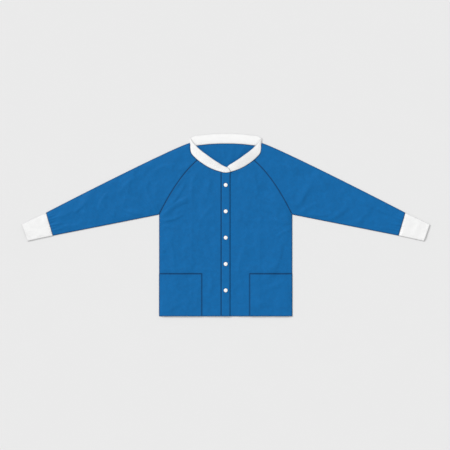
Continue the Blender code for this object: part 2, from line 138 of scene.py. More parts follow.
HEM_PLY = 0.45  # what the turned ply adds to the wall
STITCH_INSET = 3.4  # from an edge to its row of stitching
ROW_FROM_HEM = 1.5  # from the hem to the first stitch
ROW_FROM_SEAM = 3.0
ROW_FROM_FOLD = 4.0
BAND_STITCH_ROWS = (-BAND_HALF + STITCH_INSET, BAND_HALF - STITCH_INSET)

# Cubic curves, as their four control points, on the side of +X.
FRONT_RAGLAN = ((NECK_CORNER_X, 282), (175, 238), (232, 162), UNDERARM)
BACK_RAGLAN = ((BACK_CORNER_X, 344.2), (186, 282), (248, 142), UNDERARM)
SHOULDER_LINE = (SHOULDER, (215, 340), (560, 168), CUFF_TOP)

BAND_EDGE_Z = 4.7  # the placket band's underside along its edges

# Front half of the collar: seam x, seam y, free edge x, free edge y, lift of the free edge
COLLAR_FRONT = (
    (20, 230, 12, 257.5, 2.0),
    (46, 238, 30, 269, 4.5),
    (75, 250.5, 53, 283.5, 7.0),
    (104, 268.5, 79, 302, 8.0),
    (122, 282, 96, 314.5, 7.6),
    (136, 295, 110.5, 326, 6.4),
    (150, 312, 128, 342.5, 4.2),
    (153.5, 331, 143.5, 360.5, 1.6),
)
COLLAR_FOLD = (154.7, 349.0, 157.0, 378.0)  # the fold at the side: seam x, y, free edge x, y
# Back half of the collar, from the side to the centre back: seam x, seam y, free edge x, free edge y
COLLAR_BACK = (
    (140, 344.5, 141, 387.5),
    (112, 346.8, 113, 391.5),
    (75, 350.8, 76, 395.5),
    (38, 353, 38, 398.2),
    (0, 353.5, 0, 399),
)
# Lapped ends of the collar, from the tip, x counted towards their own side: seam x, free edge x and y
COLLAR_OVER_END = ((-20, -20, 232.5), (-14.5, -15, 242.5), (-9.5, -10, 247.5), (9.5, 1.5, 252.8))
COLLAR_UNDER_END = ((-20, -20, 232.5), (-14.5, -14, 242), (-9.5, -8, 246.5), (9.5, 6.5, 251.5))
COLLAR_OVER_LIFT = 2.6
COLLAR_UNDER_LIFT = 1.0
COLLAR_ARCH = 1.3  # how far the front of the band arches up across its width
LAP_EDGE = [(-x, y) for _, x, y in COLLAR_OVER_END[:3]] + [(5.0, 250.4)]  # the over tip's free edge

# The largest soft folds, which the frame has too: x and y of both ends, half the width, height
FOLDS = (
    (-262, 40, -150, 150, 30, 1.2),  # right underarm to chest
    (-225, -40, -205, -190, 34, 0.9),  # right side
    (-95, 120, -85, -60, 36, 0.8),  # right chest
    (255, 25, 168, 168, 28, 1.1),  # left underarm to chest
    (228, -90, 188, -205, 34, 1.0),  # left side
    (95, 60, 110, -120, 38, 0.7),  # left chest
    (-300, 90, -420, 175, 26, 1.3),  # right upper sleeve
    (-500, 60, -620, 90, 24, 1.0),  # right elbow
    (305, 110, 395, 190, 26, 1.2),  # left upper sleeve
    (470, 130, 590, 60, 24, 1.1),  # left elbow
)

# Narrower creases of the upper layer: x and y of both ends, sideways bow, half the width, height.
# A negative height is a trough.
CREASES = (
    # right front, from the underarm inwards
    (-284, 30, -138, 128, 12, 11, 1.2),
    (-282, 14, -176, 52, -9, 8, 0.9),
    (-280, -6, -196, -22, 6, 7, 0.7),
    (-262, 66, -170, 205, -12, 9, 0.8),
    (-236, 58, -118, 96, 10, 9, -0.6),
    (-72, 214, -112, 70, 12, 13, 0.8),
    (-128, 232, -150, 128, -6, 9, 0.6),
    (-44, 92, -128, -26, -12, 12, 0.7),
    (-100, -48, -62, -176, 9, 12, 0.6),
    (-246, -58, -226, -196, 7, 11, 0.8),
    (-176, -70, -166, -202, -8, 14, 0.7),
    (-60, -212, -84, -352, 6, 11, 0.6),
    (-262, -238, -168, -318, 9, 12, 0.7),
    (-150, -330, -246, -372, -7, 10, 0.5),
    (-120, -262, -136, -380, 5, 9, 0.5),
    # left front
    (283, 24, 160, 142, -14, 12, 1.1),
    (281, 4, 190, 30, 8, 8, 0.8),
    (284, -22, 214, -58, -6, 7, 0.7),
    (258, 80, 184, 190, 9, 9, 0.7),
    (222, 28, 128, 64, -8, 9, -0.6),
    (64, 208, 92, 96, -9, 12, 0.7),
    (118, 216, 140, 116, 7, 9, 0.6),
    (52, 40, 108, -70, 8, 12, 0.7),
    (136, -20, 152, -150, -9, 13, 0.7),
    (244, -84, 210, -200, 8, 11, 0.8),
    (72, -110, 56, -232, -6, 11, 0.6),
    (262, -250, 150, -302, -8, 12, 0.6),
    (70, -280, 84, -384, 5, 10, 0.5),
    (136, -336, 240, -366, 8, 11, 0.5),
    # right sleeve, from the underarm to the wrist
    (-300, 62, -350, 168, 10, 11, 1.2),
    (-318, 52, -408, 116, -10, 9, 0.9),
    (-352, 44, -452, 70, 7, 8, 0.8),
    (-214, 262, -330, 216, -12, 14, 0.9),
    (-196, 200, -262, 122, 7, 10, 0.7),
    (-400, 206, -470, 118, -9, 11, 0.8),
    (-470, 30, -548, 104, 9, 10, 1.0),
    (-514, 142, -556, 62, -7, 8, 0.8),
    (-560, 8, -640, 62, -8, 9, 0.8),
    (-604, 108, -676, 44, 7, 9, 0.8),
    (-664, 66, -736, 28, 5, 8, 0.6),
    (-640, -4, -722, -14, -5, 8, 0.7),
    # left sleeve
    (298, 70, 366, 176, -9, 12, 1.1),
    (322, 48, 420, 96, 9, 9, 0.9),
    (362, 40, 470, 52, -7, 8, 0.8),
    (206, 250, 312, 232, 10, 13, 0.8),
    (190, 214, 250, 140, -8, 10, 0.7),
    (388, 216, 446, 140, 8, 11, 0.8),
    (452, 24, 536, 84, -9, 10, 0.9),
    (500, 152, 566, 84, 8, 9, 0.9),
    (572, 4, 634, 56, 8, 9, 0.7),
    (590, 112, 668, 66, -7, 8, 0.7),
    (650, 70, 742, 44, -5, 8, 0.7),
    (632, -10, 716, -22, 5, 8, 0.6),
)

# Straight creases from the folded pack: x and y of both ends, half the width, height
PACK_CREASES = (
    (-150, HEM_Y, -146, 262, 7, 0.55),
    (147, HEM_Y, 151, 262, 7, 0.50),
    (-SIDE_X, -196, SIDE_X, -200, 8, 0.45),
    (-SIDE_X, 22, SIDE_X, 17, 8, 0.40),
    (-470, 12, -398, 238, 7, 0.50),
    (466, 12, 402, 236, 7, 0.45),
    (-640, -26, -590, 146, 6, 0.40),
    (636, -26, 596, 143, 6, 0.40),
)

# Gathers that run up the sleeve from the cuff seam: share of the seam from underarm, length, half the
# width, height
CUFF_GATHERS = (
    (0.10, 34, 4.0, 0.7),
    (0.21, 58, 4.6, 0.9),
    (0.33, 41, 4.2, 0.7),
    (0.44, 76, 5.2, 1.0),
    (0.57, 38, 4.0, 0.7),
    (0.67, 62, 4.8, 0.9),
    (0.79, 47, 4.4, 0.8),
    (0.90, 30, 4.0, 0.6),
)

# Soft folds of the back that show in the neck opening: x and y of both ends, half the width, height
NECK_FOLDS = (
    (-64, 346, -30, 286, 9, 1.1),
    (-14, 350, -6, 300, 7, 0.8),
    (38, 348, 20, 280, 10, 1.2),
    (84, 344, 58, 306, 8, 0.9),
)

# Low hills of each surface: height, length of one hill, seed
UPPER_HILLS = ((0.55, 120, 1.0), (0.22, 46, 4.0))
BACK_HILLS = (90, 6.0)  # a lower layer's: length of one hill, seed
SLEEVE_HILLS = (80, 7.0)

# Half the width of each darker or sunk line
SEAM_WIDTH = 2.2
SEAM_SHADE_WIDTH = 2.4
FOLD_WIDTH = 2.6
PAINTED_EDGE_WIDTH = 3.0
ROW_WIDTH = 1.1  # of a row of stitching

# How much painted shade or shadow each line gets, beside a seam's 1, whose darkening is partly its doubled
# cloth and thread and partly painted shade
PAINTED_EDGE_SHADE = 0.8  # the cloth's folded edges
CAP_PAINTED_SHADOW = 0.85  # the cloth that a snap cap presses
RIB_VALLEY_PAINTED_SHADE = 0.20
FOLD_PAINTED_SHADE = 0.8  # the knit's folded edges
LAP_PAINTED_SHADOW = 0.95  # the collar's over tip

# Snaps and stitches
SNAP_SIDES = 56
SNAP_POST_R = 1.6
SNAP_SOCKET_R = 5.5
SNAP_BORE_R = 2.6
SNAP_SOCKET_TOP = 6.3
SNAP_SOCKET_ROOF = 5.5
SNAP_EDGE = 0.35  # radius of the cap's rounded edge, in plan
SNAP_EDGE_RISE = 0.42
SNAP_DOME_FALL = 0.75
SNAP_DIMPLE = 0.12
SNAP_GROOVE = 0.22
SNAP_GROOVE_AT = 0.79  # share of the cap's radius
STITCH_SIDES = 5
# Rings of one stitch: place along it from -1 to 1, share of the thread's radius
STITCH_RINGS = ((-1.0, 0.3), (-0.78, 0.95), (0.78, 0.95), (1.0, 0.3))
LOCKSTITCH_SHARE = 0.78  # of the pitch that a lockstitch covers
OVERLOCK_PITCH = 2.3
OVERLOCK_LENGTH = 3.6
OVERLOCK_TURN = math.radians(74.0)

# Points of the meshes. A step is the widest one, away from the edges.
FRONT_STEP = 4.0
BACK_STEP = 5.0
POCKET_STEP = 3.4
EDGE_TURNS = np.linspace(0.0, math.pi / 2, 7)[1:]  # round half of a folded edge
TURNED_X = SIDE_X - EDGE_RADIUS * (1 - np.sin(EDGE_TURNS))
TURNED_CLIMB = EDGE_RADIUS * (1 - np.cos(EDGE_TURNS))
STRAIGHT_TOP = 15.0  # up to here a panel's rows are level, and above they climb to its upper edge
SLEEVE_ARC = 5  # round each folded edge of a sleeve
SLEEVE_INNER_STEP = 3  # the inner side keeps every third ring
CUFF_INNER_STEP = 4
CUFF_ACROSS = 190
CUFF_ARC = 11
CUFF_FOLD_ARC = 6  # round the fold at the wrist
COLLAR_ACROSS = 9  # across each face of the band
COLLAR_ARC = 5
SIDE_FOLD_ARC = 16  # round the fold at each side of the neck
COLLAR_STEP = 0.5

# Stage
CAMERA_LENS = 100.0
CAMERA_SENSOR = 36.0
JACKET_SHARE = 0.9072  # of the view's width that the jacket takes
CAMERA_ASIDE = -3.0  # how far the camera stands off the jacket's centre line
CAMERA_UP = -1.5
CAMERA_REACH = 100.0  # metres
FLOOR_HALF = 40.0  # metres
# Lights: name, direction that each comes from, angle in degrees that it spans, strength
SOFT_LIGHTS = (
    ("key_light", (-0.66, 0.54, 0.52), 22.0, 2.55),
    ("fill_light", (0.55, -0.42, 0.72), 40.0, 0.32),
)
WORLD_STRENGTH = 0.66


# ---------------- plan geometry
def cubic(control, count=80):
    """Points along the cubic curve of four control points, weighted by the four Bernstein terms."""
    t = np.linspace(0.0, 1.0, count)[:, None]
    a, b, c, d = (np.array(point, float) for point in control)
    return (1 - t) ** 3 * a + 3 * (1 - t) ** 2 * t * b + 3 * (1 - t) * t**2 * c + t**3 * d


def height_on(control, x):
    """The y of a curve at each x, read from its points by straight steps."""
    points = cubic(control, 400)
    return np.interp(x, points[:, 0], points[:, 1])


def along(line):
    """How far along a polyline each of its points lies."""
    return np.concatenate([[0.0], np.cumsum(np.linalg.norm(np.diff(line, axis=0), axis=1))])


def smooth(t):
    """A soft step from 0 to 1: three t squared less two t cubed."""
    t = np.clip(t, 0.0, 1.0)
    return t * t * (3 - 2 * t)


def inner_steps(first, last, count):
    """Even steps from one number to another, without the two themselves."""
    return np.linspace(first, last, count + 2)[1:-1]


def rounded(distance, reach):
    """A quarter ellipse that rises from 0 at an edge to 1 at reach."""
    t = np.clip(distance / reach, 0.0, 1.0)
    return np.sqrt(1 - (1 - t) ** 2)


def bell(distance, half_width):
    """The exponential of minus the squared distance in half widths."""
    return np.exp(-((distance / half_width) ** 2))


def beside(x, y, start, end):
    """Where each point lies beside a line: its share of the way along it, and its distance to the left."""
    (ax, ay), (dx, dy) = start, np.subtract(end, start)
    span = math.hypot(dx, dy)
    return ((x - ax) * dx + (y - ay) * dy) / span**2, ((y - ay) * dx - (x - ax) * dy) / span


def nearest_on(x, y, line):
    """The distance of each point to a polyline, and how far along the line its nearest point lies."""
    line = np.asarray(line, float)
    passed = along(line)
    best = np.full(np.shape(x), np.inf)
    place = np.zeros(np.shape(x))
    for start, end, before, after in zip(line[:-1], line[1:], passed[:-1], passed[1:]):
        t = np.clip(beside(x, y, start, end)[0], 0.0, 1.0)
        foot_x, foot_y = start[0] + t * (end[0] - start[0]), start[1] + t * (end[1] - start[1])
        gap = np.hypot(x - foot_x, y - foot_y)
        closer = gap < best
        best = np.where(closer, gap, best)
        place = np.where(closer, before + t * (after - before), place)
    return best, place


def distance_to(x, y, line):
    """The distance of each point, on either side, to a polyline given on the side of +X."""
    return nearest_on(np.abs(x), y, line)[0]


def ripple(s, period, phase=0.0):
    """An uneven wave of about one period: four sines whose lengths have no common measure."""
    turn = 2 * math.pi * np.asarray(s) / period
    waves = ((1.0, 1.0, 0.0), (0.618, 0.7, 1.3), (1.47, 0.5, 2.9), (0.37, 0.6, 4.2))
    return sum(size * np.sin(turn * rate + phase + shift) for rate, size, shift in waves) / 1.6


def undulation(x, y, period, seed):
    """Uneven low hills: seven plane waves in directions a golden angle apart, bent by each other."""
    golden_angle = 2.399963
    total = np.zeros(np.shape(x))
    bend = np.zeros(np.shape(x))
    for k in range(7):
        angle = seed + k * golden_angle
        across = x * math.cos(angle) + y * math.sin(angle)
        turn = 2 * math.pi * across / (period * (0.75 + 0.11 * k))
        bend = np.sin(turn + seed * 3.7 + k + 0.9 * bend)
        total = total + bend
    return total / 3.2


def graded(length, coarse, fine, zone, ends=(True, True)):
    """Places along a length whose spacing grows softly from fine at its chosen ends to coarse."""
    s = np.linspace(0.0, length, 4001)
    away = np.minimum(s if ends[0] else np.inf, length - s if ends[1] else np.inf)
    density = 1 / (fine + (coarse - fine) * smooth(away / zone))
    steps = np.concatenate([[0.0], np.cumsum((density[1:] + density[:-1]) / 2 * np.diff(s))])
    return np.interp(np.linspace(0.0, steps[-1], math.ceil(steps[-1]) + 1), steps, s)


def through(rows, places):
    """A smooth curve through rows of numbers whose first two columns are x and y.

    It is a cubic between each two rows, with each row's slope taken from its neighbours, and is read
    at the given distances along the rows' own polyline."""
    rows = np.asarray(rows, float)
    at = along(rows[:, :2])
    slope = np.gradient(rows, at, axis=0)
    i = np.clip(np.searchsorted(at, places, side="right") - 1, 0, len(at) - 2)
    step = (at[i + 1] - at[i])[:, None]
    t = ((places - at[i]) / step[:, 0])[:, None]
    stay, arrive = 1 - smooth(t), smooth(t)
    leave_slope, arrive_slope = t * (1 - t) ** 2 * step, -(t**2) * (1 - t) * step
    return stay * rows[i] + arrive * rows[i + 1] + leave_slope * slope[i] + arrive_slope * slope[i + 1]


def unit(vectors):
    """Vectors of length one."""
    vectors = np.asarray(vectors, float)
    return vectors / np.linalg.norm(vectors, axis=-1, keepdims=True)


def left_of(start, end):
    """The unit normal of a line, to its left."""
    return unit((start[1] - end[1], end[0] - start[0]))


def read_at(line, places):
    """The points of a polyline at distances along it."""
    at = along(line)
    return np.stack([np.interp(places, at, column) for column in np.asarray(line, float).T], -1)


def moved_left(line, distance):
    """A polyline moved to the left of its own direction."""
    steps = unit(np.gradient(line, axis=0))
    return line + distance * np.stack([-steps[:, 1], steps[:, 0]], 1)


# ---------------- lines of the cut
# The neckline climbs like a square across the band, and then follows the collar's seam.
LAP_RISE = COLLAR_FRONT[0][1] - NECK_Y
NECK_ROWS = np.array(
    [(x, NECK_Y + LAP_RISE * (x / BAND_HALF) ** 2) for x in (-BAND_HALF / 2, 0.0, BAND_HALF / 2)]
    + [row[:2] for row in COLLAR_FRONT]
    + [COLLAR_FOLD[:2]]
)
NECKLINE = through(NECK_ROWS, np.linspace(0.0, along(NECK_ROWS)[-1], 240))
NECK_SEAM = NECKLINE[NECKLINE[:, 0] >= 0][::3]
BACK_NECK_SEAM = np.array([row[:2] for row in COLLAR_BACK])
RAGLAN_SEAM = cubic(FRONT_RAGLAN, 40)
BACK_RAGLAN_SEAM = cubic(BACK_RAGLAN, 40)
CUFF_SEAM = np.array([CUFF_UNDER, CUFF_TOP])
CUFF_END = np.array([CUFF_END_UNDER, CUFF_END_TOP])
CUFF_OUTLINE = (CUFF_TOP, CUFF_END_TOP, CUFF_END_UNDER, CUFF_UNDER)
POCKET_OUTLINE = ((POCKET_X, HEM_Y), (POCKET_X, POCKET_TOP), (SIDE_X, POCKET_TOP))
CLOSED_EDGES = (((SIDE_X, HEM_Y), UNDERARM, CUFF_UNDER), cubic(SHOULDER_LINE, 9))


def neckline_y(x):
    """The y of the front neckline seam at each x up to the raglan corner."""
    return np.interp(np.abs(x), NECKLINE[:, 0], NECKLINE[:, 1])


def front_top(x):
    """The y of a front's upper edge: the neckline, then the raglan seam."""
    across = np.abs(x)
    return np.where(across <= NECK_CORNER_X, neckline_y(across), height_on(FRONT_RAGLAN, across))


def back_top(x):
    """The y of the back's upper edge: the arch of the neck, then the raglan seam."""
    xs, ys = BACK_NECK_SEAM[::-1].T
    across = np.abs(x)
    return np.where(across <= BACK_CORNER_X, np.interp(across, xs, ys), height_on(BACK_RAGLAN, across))


def edge_distance(x, y):
    """How far each point lies from the nearest closed edge of the outline."""
    return np.minimum(*(distance_to(x, y, edge) for edge in CLOSED_EDGES))


# ---------------- height of the upper layer
def setting(name):
    """A length of the sidebar's, in millimetres."""
    return getattr(bpy.context.scene.jacket_sizes, name) / MM


def fold_height(x, y, folds):
    """Soft straight folds: a bell across each one's line, which fades beyond its ends."""
    return sum(
        height * bell(nearest_on(x, y, ((ax, ay), (bx, by)))[0], half_width)
        for ax, ay, bx, by, half_width, height in folds
    )


def off_lap(x):
    """A soft step from 0 on the placket to 1 where the lap no longer holds the cloth down."""
    return smooth((np.abs(x) - BAND_HALF) / LAP_FADE)


def frame_low(x, y):
    """The underside of the frame's upper layer: a swell between its closed edges, with the large folds."""
    swell = LAP_LOFT + off_lap(x) * (LOFT - LAP_LOFT + fold_height(x, y, FOLDS))
    return FLOOR_TOP + rounded(edge_distance(x, y) - EDGE_RADIUS, LOFT_REACH) * swell


def right_rise(x):
    """How much higher the right front lies than the left, where it climbs to the band."""
    return (BAND_EDGE_Z - LEFT_LAP_Z) * (1 - off_lap(x))


def crease_height(x, y):
    """Narrow creases: bowed lines with a bell across, steeper on one side, that fade at their ends."""
    total = np.zeros(np.shape(x))
    for ax, ay, bx, by, bow, half_width, height in CREASES:
        t, off = beside(x, y, (ax, ay), (bx, by))
        off = off - bow * 4 * t * (1 - t)
        width = np.where(off * bow > 0, 0.7, 1.35) * half_width
        fade = smooth((t + 0.08) / 0.3) * smooth((1.08 - t) / 0.45)
        total = total + height * fade * bell(off, width)
    return total


def pack_crease_height(x, y):
    """Creases of the folded pack: a narrow crest whose two flanks fall off like a tent."""
    rounding = 0.8
    total = np.zeros(np.shape(x))
    for ax, ay, bx, by, half_width, height in PACK_CREASES:
        gap, place = nearest_on(x, y, ((ax, ay), (bx, by)))
        crest = np.exp(-(np.hypot(gap, rounding) - rounding) / half_width)
        total = total + height * (0.75 + 0.25 * ripple(place, 83.0, ax)) * crest
    return total


def cuff_gather_height(x, y):
    """Gathers beside the cuff seam: bells across lines that run up the sleeve and fade along it."""
    across, up = beside(np.abs(x), y, *CUFF_SEAM)
    total = np.zeros(np.shape(x))
    for share, length, half_width, height in CUFF_GATHERS:
        lean = 0.0007 * up * np.sign(share - 0.5)
        gap = (across - share - lean) * along(CUFF_SEAM)[-1]
        total = total + height * smooth(1.1 - up / length) * bell(gap, half_width)
    return total


def seam_dip(distance, place, seed):
    """A seam's valley with the cloth puffed beside it, and small uneven puckers square to the seam."""
    depth = setting("seam_depth")
    puff = 0.28 * bell(distance - 8.0, 5.0)
    pucker = 0.34 * ripple(place, 15.0, seed) * bell(distance - 4.0, 8.0) * smooth(distance / 3.0)
    return depth * (puff + pucker - bell(distance, SEAM_WIDTH))


def seam_shade(distance):
    """How strongly a seam darkens the surface, from 0 to 1: partly the seam's sunk thread and doubled
    cloth, and partly painted shade in its valley.
    """
    return bell(distance, SEAM_SHADE_WIDTH)


def darkest(*shades):
    """The strongest of some shades at each point."""
    return np.maximum.reduce(np.broadcast_arrays(*shades))


def painted_edge_shade(x, y):
    """Painted shade of the folds along the closed edges and the hem's turned edge, where the cloth rolls
    away from the light.
    """
    return PAINTED_EDGE_SHADE * bell(np.minimum(edge_distance(x, y), y - HEM_Y), PAINTED_EDGE_WIDTH)


def upper_seams(x, y):
    """Height and shade of the seams that cross the upper layer: raglans, neckline and cuff seams."""
    height = np.zeros(np.shape(x))
    shade = np.zeros(np.shape(x))
    shift = np.where(x < 0, 37.0, 0.0)  # so that the two sides' puckers differ
    for line, seed in ((RAGLAN_SEAM, 0.4), (NECK_SEAM, 2.1), (CUFF_SEAM, 5.0)):
        distance, place = nearest_on(np.abs(x), y, line)
        height = height + seam_dip(distance, place + shift, seed)
        shade = darkest(shade, seam_shade(distance))
    return height, shade


def upper_top(x, y):
    """The top of the upper cloth layer: the frame's form, low hills, creases, gathers and seam valleys.

    The added relief dies out at the closed edges, and beside the placket, so that the folds there hold."""
    away = edge_distance(x, y) - EDGE_RADIUS
    relief = sum(height * undulation(x, y, period, seed) for height, period, seed in UPPER_HILLS)
    relief = relief + crease_height(x, y) + pack_crease_height(x, y) + cuff_gather_height(x, y)
    beside_lap = smooth((np.abs(x) - BAND_HALF - 2.0) / 34.0)
    held = 0.25 + 0.75 * smooth((y - HEM_Y) / 30.0)
    share = smooth(away / 16.0) * beside_lap * held * bpy.context.scene.jacket_sizes.crease_strength
    top = frame_low(x, y) + CLOTH + share * relief + rounded(away, 5.0) * upper_seams(x, y)[0]
    above = top - LOWEST_TOP
    return LOWEST_TOP + (above + np.hypot(above, LOWEST_ROUNDING)) / 2


def front_surface(x, y, side):
    """The top of a front: the upper layer, with the right front's climb to the placket band."""
    top = upper_top(x, y)
    return top + right_rise(x) if side < 0 else top


def pressed_low(x, y, hills):
    """The underside of a lower layer: pressed flat, with shallow hills and creases pushed up into it."""
    raised = 0.3 * np.maximum(undulation(x, y, *hills), 0.0)
    raised = raised + 0.5 * np.maximum(pack_crease_height(x, y), 0.0)
    return np.minimum(raised, MOST_PRESSED)


def back_low(x, y):
    """The underside of the back: pressed flat with shallow creases, and freer inside the neck opening."""
    neck = neckline_y(np.minimum(np.abs(x), NECK_CORNER_X))
    from_side = BACK_CORNER_X - 26.0 - np.abs(x)
    from_top = back_top(x) - y
    freedom = smooth((y - neck - 6.0) / 30.0) * smooth(from_side / 24.0) * smooth(from_top / 16.0)
    return pressed_low(x, y, BACK_HILLS) + freedom * fold_height(x, y, NECK_FOLDS)


def cuff_top_z(x, y):
    """The top of a cuff: a low swell between its folded edges, level with the sleeve along their seam."""
    edges = ((CUFF_TOP, CUFF_END_TOP), (CUFF_UNDER, CUFF_END_UNDER))
    away = np.minimum(*(distance_to(x, y, edge) for edge in edges)) - CUFF_RADIUS
    swell = CUFF_LOFT * rounded(away, CUFF_REACH) + 0.6 * undulation(x, y, 60.0, 9.0) * smooth(away / 14.0)
    seam, place = nearest_on(np.abs(x), y, CUFF_SEAM)
    at = read_at(CUFF_SEAM, place)
    joined = upper_top(at[..., 0] * np.sign(x), at[..., 1])
    free = 2 * CUFF_RADIUS + swell
    return free + (joined - free) * bell(seam, 6.0) * rounded(away, 6.0)


# ---------------- mesh makers
def in_space(x, y, z):
    """Points from their three coordinates, which may be arrays or single numbers."""
    return np.stack(np.broadcast_arrays(x, y, z), -1)


def grid_faces(rows, columns, wrap_rows=False, wrap_columns=False):
    """Quads of a grid of points, as the points' indices and as the row and column of each corner.

    A wrapped direction joins its last line to its first, and its corners count on past the end."""
    i, j = np.indices((rows - 1 + wrap_rows, columns - 1 + wrap_columns))
    corners = ((i, j), (i, j + 1), (i + 1, j + 1), (i + 1, j))
    steps = np.stack([np.stack(corner, -1) for corner in corners], 2).reshape(-1, 4, 2)
    return (steps[..., 0] % rows) * columns + steps[..., 1] % columns, steps


def end_faces(rows, columns):
    """The face at each end of a tube of points, as the points' indices."""
    around = np.arange(columns)
    return np.stack([around[::-1], around + (rows - 1) * columns])


def signed_volume(points, faces):
    """The volume inside the faces: a sixth of the sum of each triangle's triple product."""
    total = 0.0
    for group in faces:
        first = points[group[:, 0]]
        for k in range(1, group.shape[1] - 1):
            total += (first * np.cross(points[group[:, k]], points[group[:, k + 1]])).sum()
    return total / 6


def put_mesh(name, points, faces, material, shade=None, corner_uv=None, sharp_angle=50.0):
    """A mesh from points in millimetres and groups of faces, turned to face outwards."""
    points = np.asarray(points, float).reshape(-1, 3)
    if signed_volume(points, faces) < 0:
        faces = [group[:, ::-1] for group in faces]
        corner_uv = corner_uv and [group[:, ::-1] for group in corner_uv]
    mesh = bpy.data.meshes.new(name)
    loops = np.concatenate([group.ravel() for group in faces])
    sizes = np.concatenate([np.full(len(group), group.shape[1]) for group in faces])
    mesh.vertices.add(len(points))
    mesh.vertices.foreach_set("co", (points * MM).astype(np.float32).ravel())
    mesh.loops.add(len(loops))
    mesh.loops.foreach_set("vertex_index", loops.astype(np.int32))
    mesh.polygons.add(len(sizes))
    mesh.polygons.foreach_set("loop_start", (np.cumsum(sizes) - sizes).astype(np.int32))
    if corner_uv:
        flat_uv = np.concatenate([group.ravel() for group in corner_uv]).astype(np.float32)
        mesh.uv_layers.new(name="UVMap").data.foreach_set("uv", flat_uv)
    if shade is not None:
        attribute = mesh.attributes.new("seam_shade", "FLOAT", "POINT")
        attribute.data.foreach_set("value", np.asarray(shade, np.float32).ravel())
    mesh.update(calc_edges=True)
    mesh.validate()
    mesh.shade_smooth()
    mesh.set_sharp_from_angle(angle=math.radians(sharp_angle))
    mesh.materials.append(material)
    return mesh


def add_piece(mesh, slot, *nodes):
    """An object at the origin that rides on the jacket's body and stands for some CAD nodes."""
    made = bpy.data.objects.new(mesh.name, mesh)
    bpy.context.scene.collection.objects.link(made)
    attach(made, "root")
    if nodes:
        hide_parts(*nodes)
    return made


def grid_normals(points, around=False):
    """Unit normals of a grid: the cross product of the steps along its rows and its columns.

    A sheet's face up on the whole. A tube's, whose rows are rings, face away from the rings' middles."""
    down = np.gradient(points, axis=0)
    if around:
        right = np.roll(points, -1, axis=1) - np.roll(points, 1, axis=1)
        outwards = points - points.mean(axis=1, keepdims=True)
    else:
        right = np.gradient(points, axis=1)
        outwards = (0.0, 0.0, 1.0)
    normals = np.cross(right, down)
    normals = normals / np.maximum(np.linalg.norm(normals, axis=2, keepdims=True), 1e-9)
    return normals * np.sign((normals * outwards).sum())


def rim_of(rows, columns):
    """The indices of a grid's outer points, in order round it."""
    index = np.arange(rows * columns).reshape(rows, columns)
    return np.concatenate([index[0, :-1], index[:-1, -1], index[-1, :0:-1], index[:0:-1, 0]])


def shell_mesh(name, outer, wall, shade, up=1):
    """A closed cloth wall: a grid, the same one moved in along its normals, and a strip round the rim."""
    rows, columns = outer.shape[:2]
    inner = outer - up * grid_normals(outer) * np.asarray(wall)[..., None]
    count = rows * columns
    quads, _ = grid_faces(rows, columns)
    rim = rim_of(rows, columns)
    beyond = np.roll(rim, -1)
    strip = np.stack([rim, rim + count, beyond + count, beyond], 1)
    faces = [quads, quads[:, ::-1] + count, strip]
    return put_mesh(name, np.stack([outer, inner]), faces, finish(CLOTH_FINISH), np.stack([shade, shade]))


def tube_mesh(name, outer, wall, shade):
    """An open cloth tube: rings of points, then some of them moved in and taken back, with joined ends."""
    last = len(outer) - 1
    inner = outer - grid_normals(outer, around=True) * wall
    kept = np.unique(np.append(np.arange(0, last, SLEEVE_INNER_STEP), last))[::-1]
    points = np.concatenate([outer, inner[kept]])
    quads, _ = grid_faces(*points.shape[:2], wrap_rows=True, wrap_columns=True)
    return put_mesh(name, points, [quads], finish(CLOTH_FINISH), np.concatenate([shade, shade[kept]]))


def knit_mesh(name, grid, shade, row_places, column_places, around, caps=False):
    """A closed mesh of knit whose map gives the place across the ribs and the place along them."""
    rows, columns = grid.shape[:2]
    quads, steps = grid_faces(rows, columns, wrap_rows=around, wrap_columns=True)
    row_places = np.append(row_places, row_places[-1])
    row_at, column_at = row_places[steps[..., 0]], column_places[steps[..., 1]]
    faces = [quads]
    corner_uv = [np.stack([column_at, row_at] if around else [row_at, column_at], -1)]
    if caps:
        faces.append(end_faces(rows, columns))
        corner_uv.append(np.zeros((2, columns, 2)))
    return put_mesh(name, grid, faces, finish(RIB_FINISH), shade, corner_uv)


def rib_wave(places):
    """The height of a rib knit from -1 to 1 along a length: a cosine with broader crests than valleys.

    It takes the whole number of ribs that comes nearest to the sidebar's pitch."""
    ribs = round(places[-1] / setting("rib_pitch"))
    return 2 * ((1 + np.cos(2 * math.pi * places / places[-1] * ribs)) / 2) ** 0.7 - 1


def area_inside(outline):
    """The area inside an outline in square metres: half the sum of its points' cross products."""
    x, y = outline.T
    return float(abs((x * np.roll(y, -1) - y * np.roll(x, -1)).sum()) / 2) * MM * MM


def area_above_hem(x, top):
    """The area from the hem to an upper edge in square metres."""
    return area_inside(np.stack([[*x, x[-1], x[0]], [*top, HEM_Y, HEM_Y]], 1))


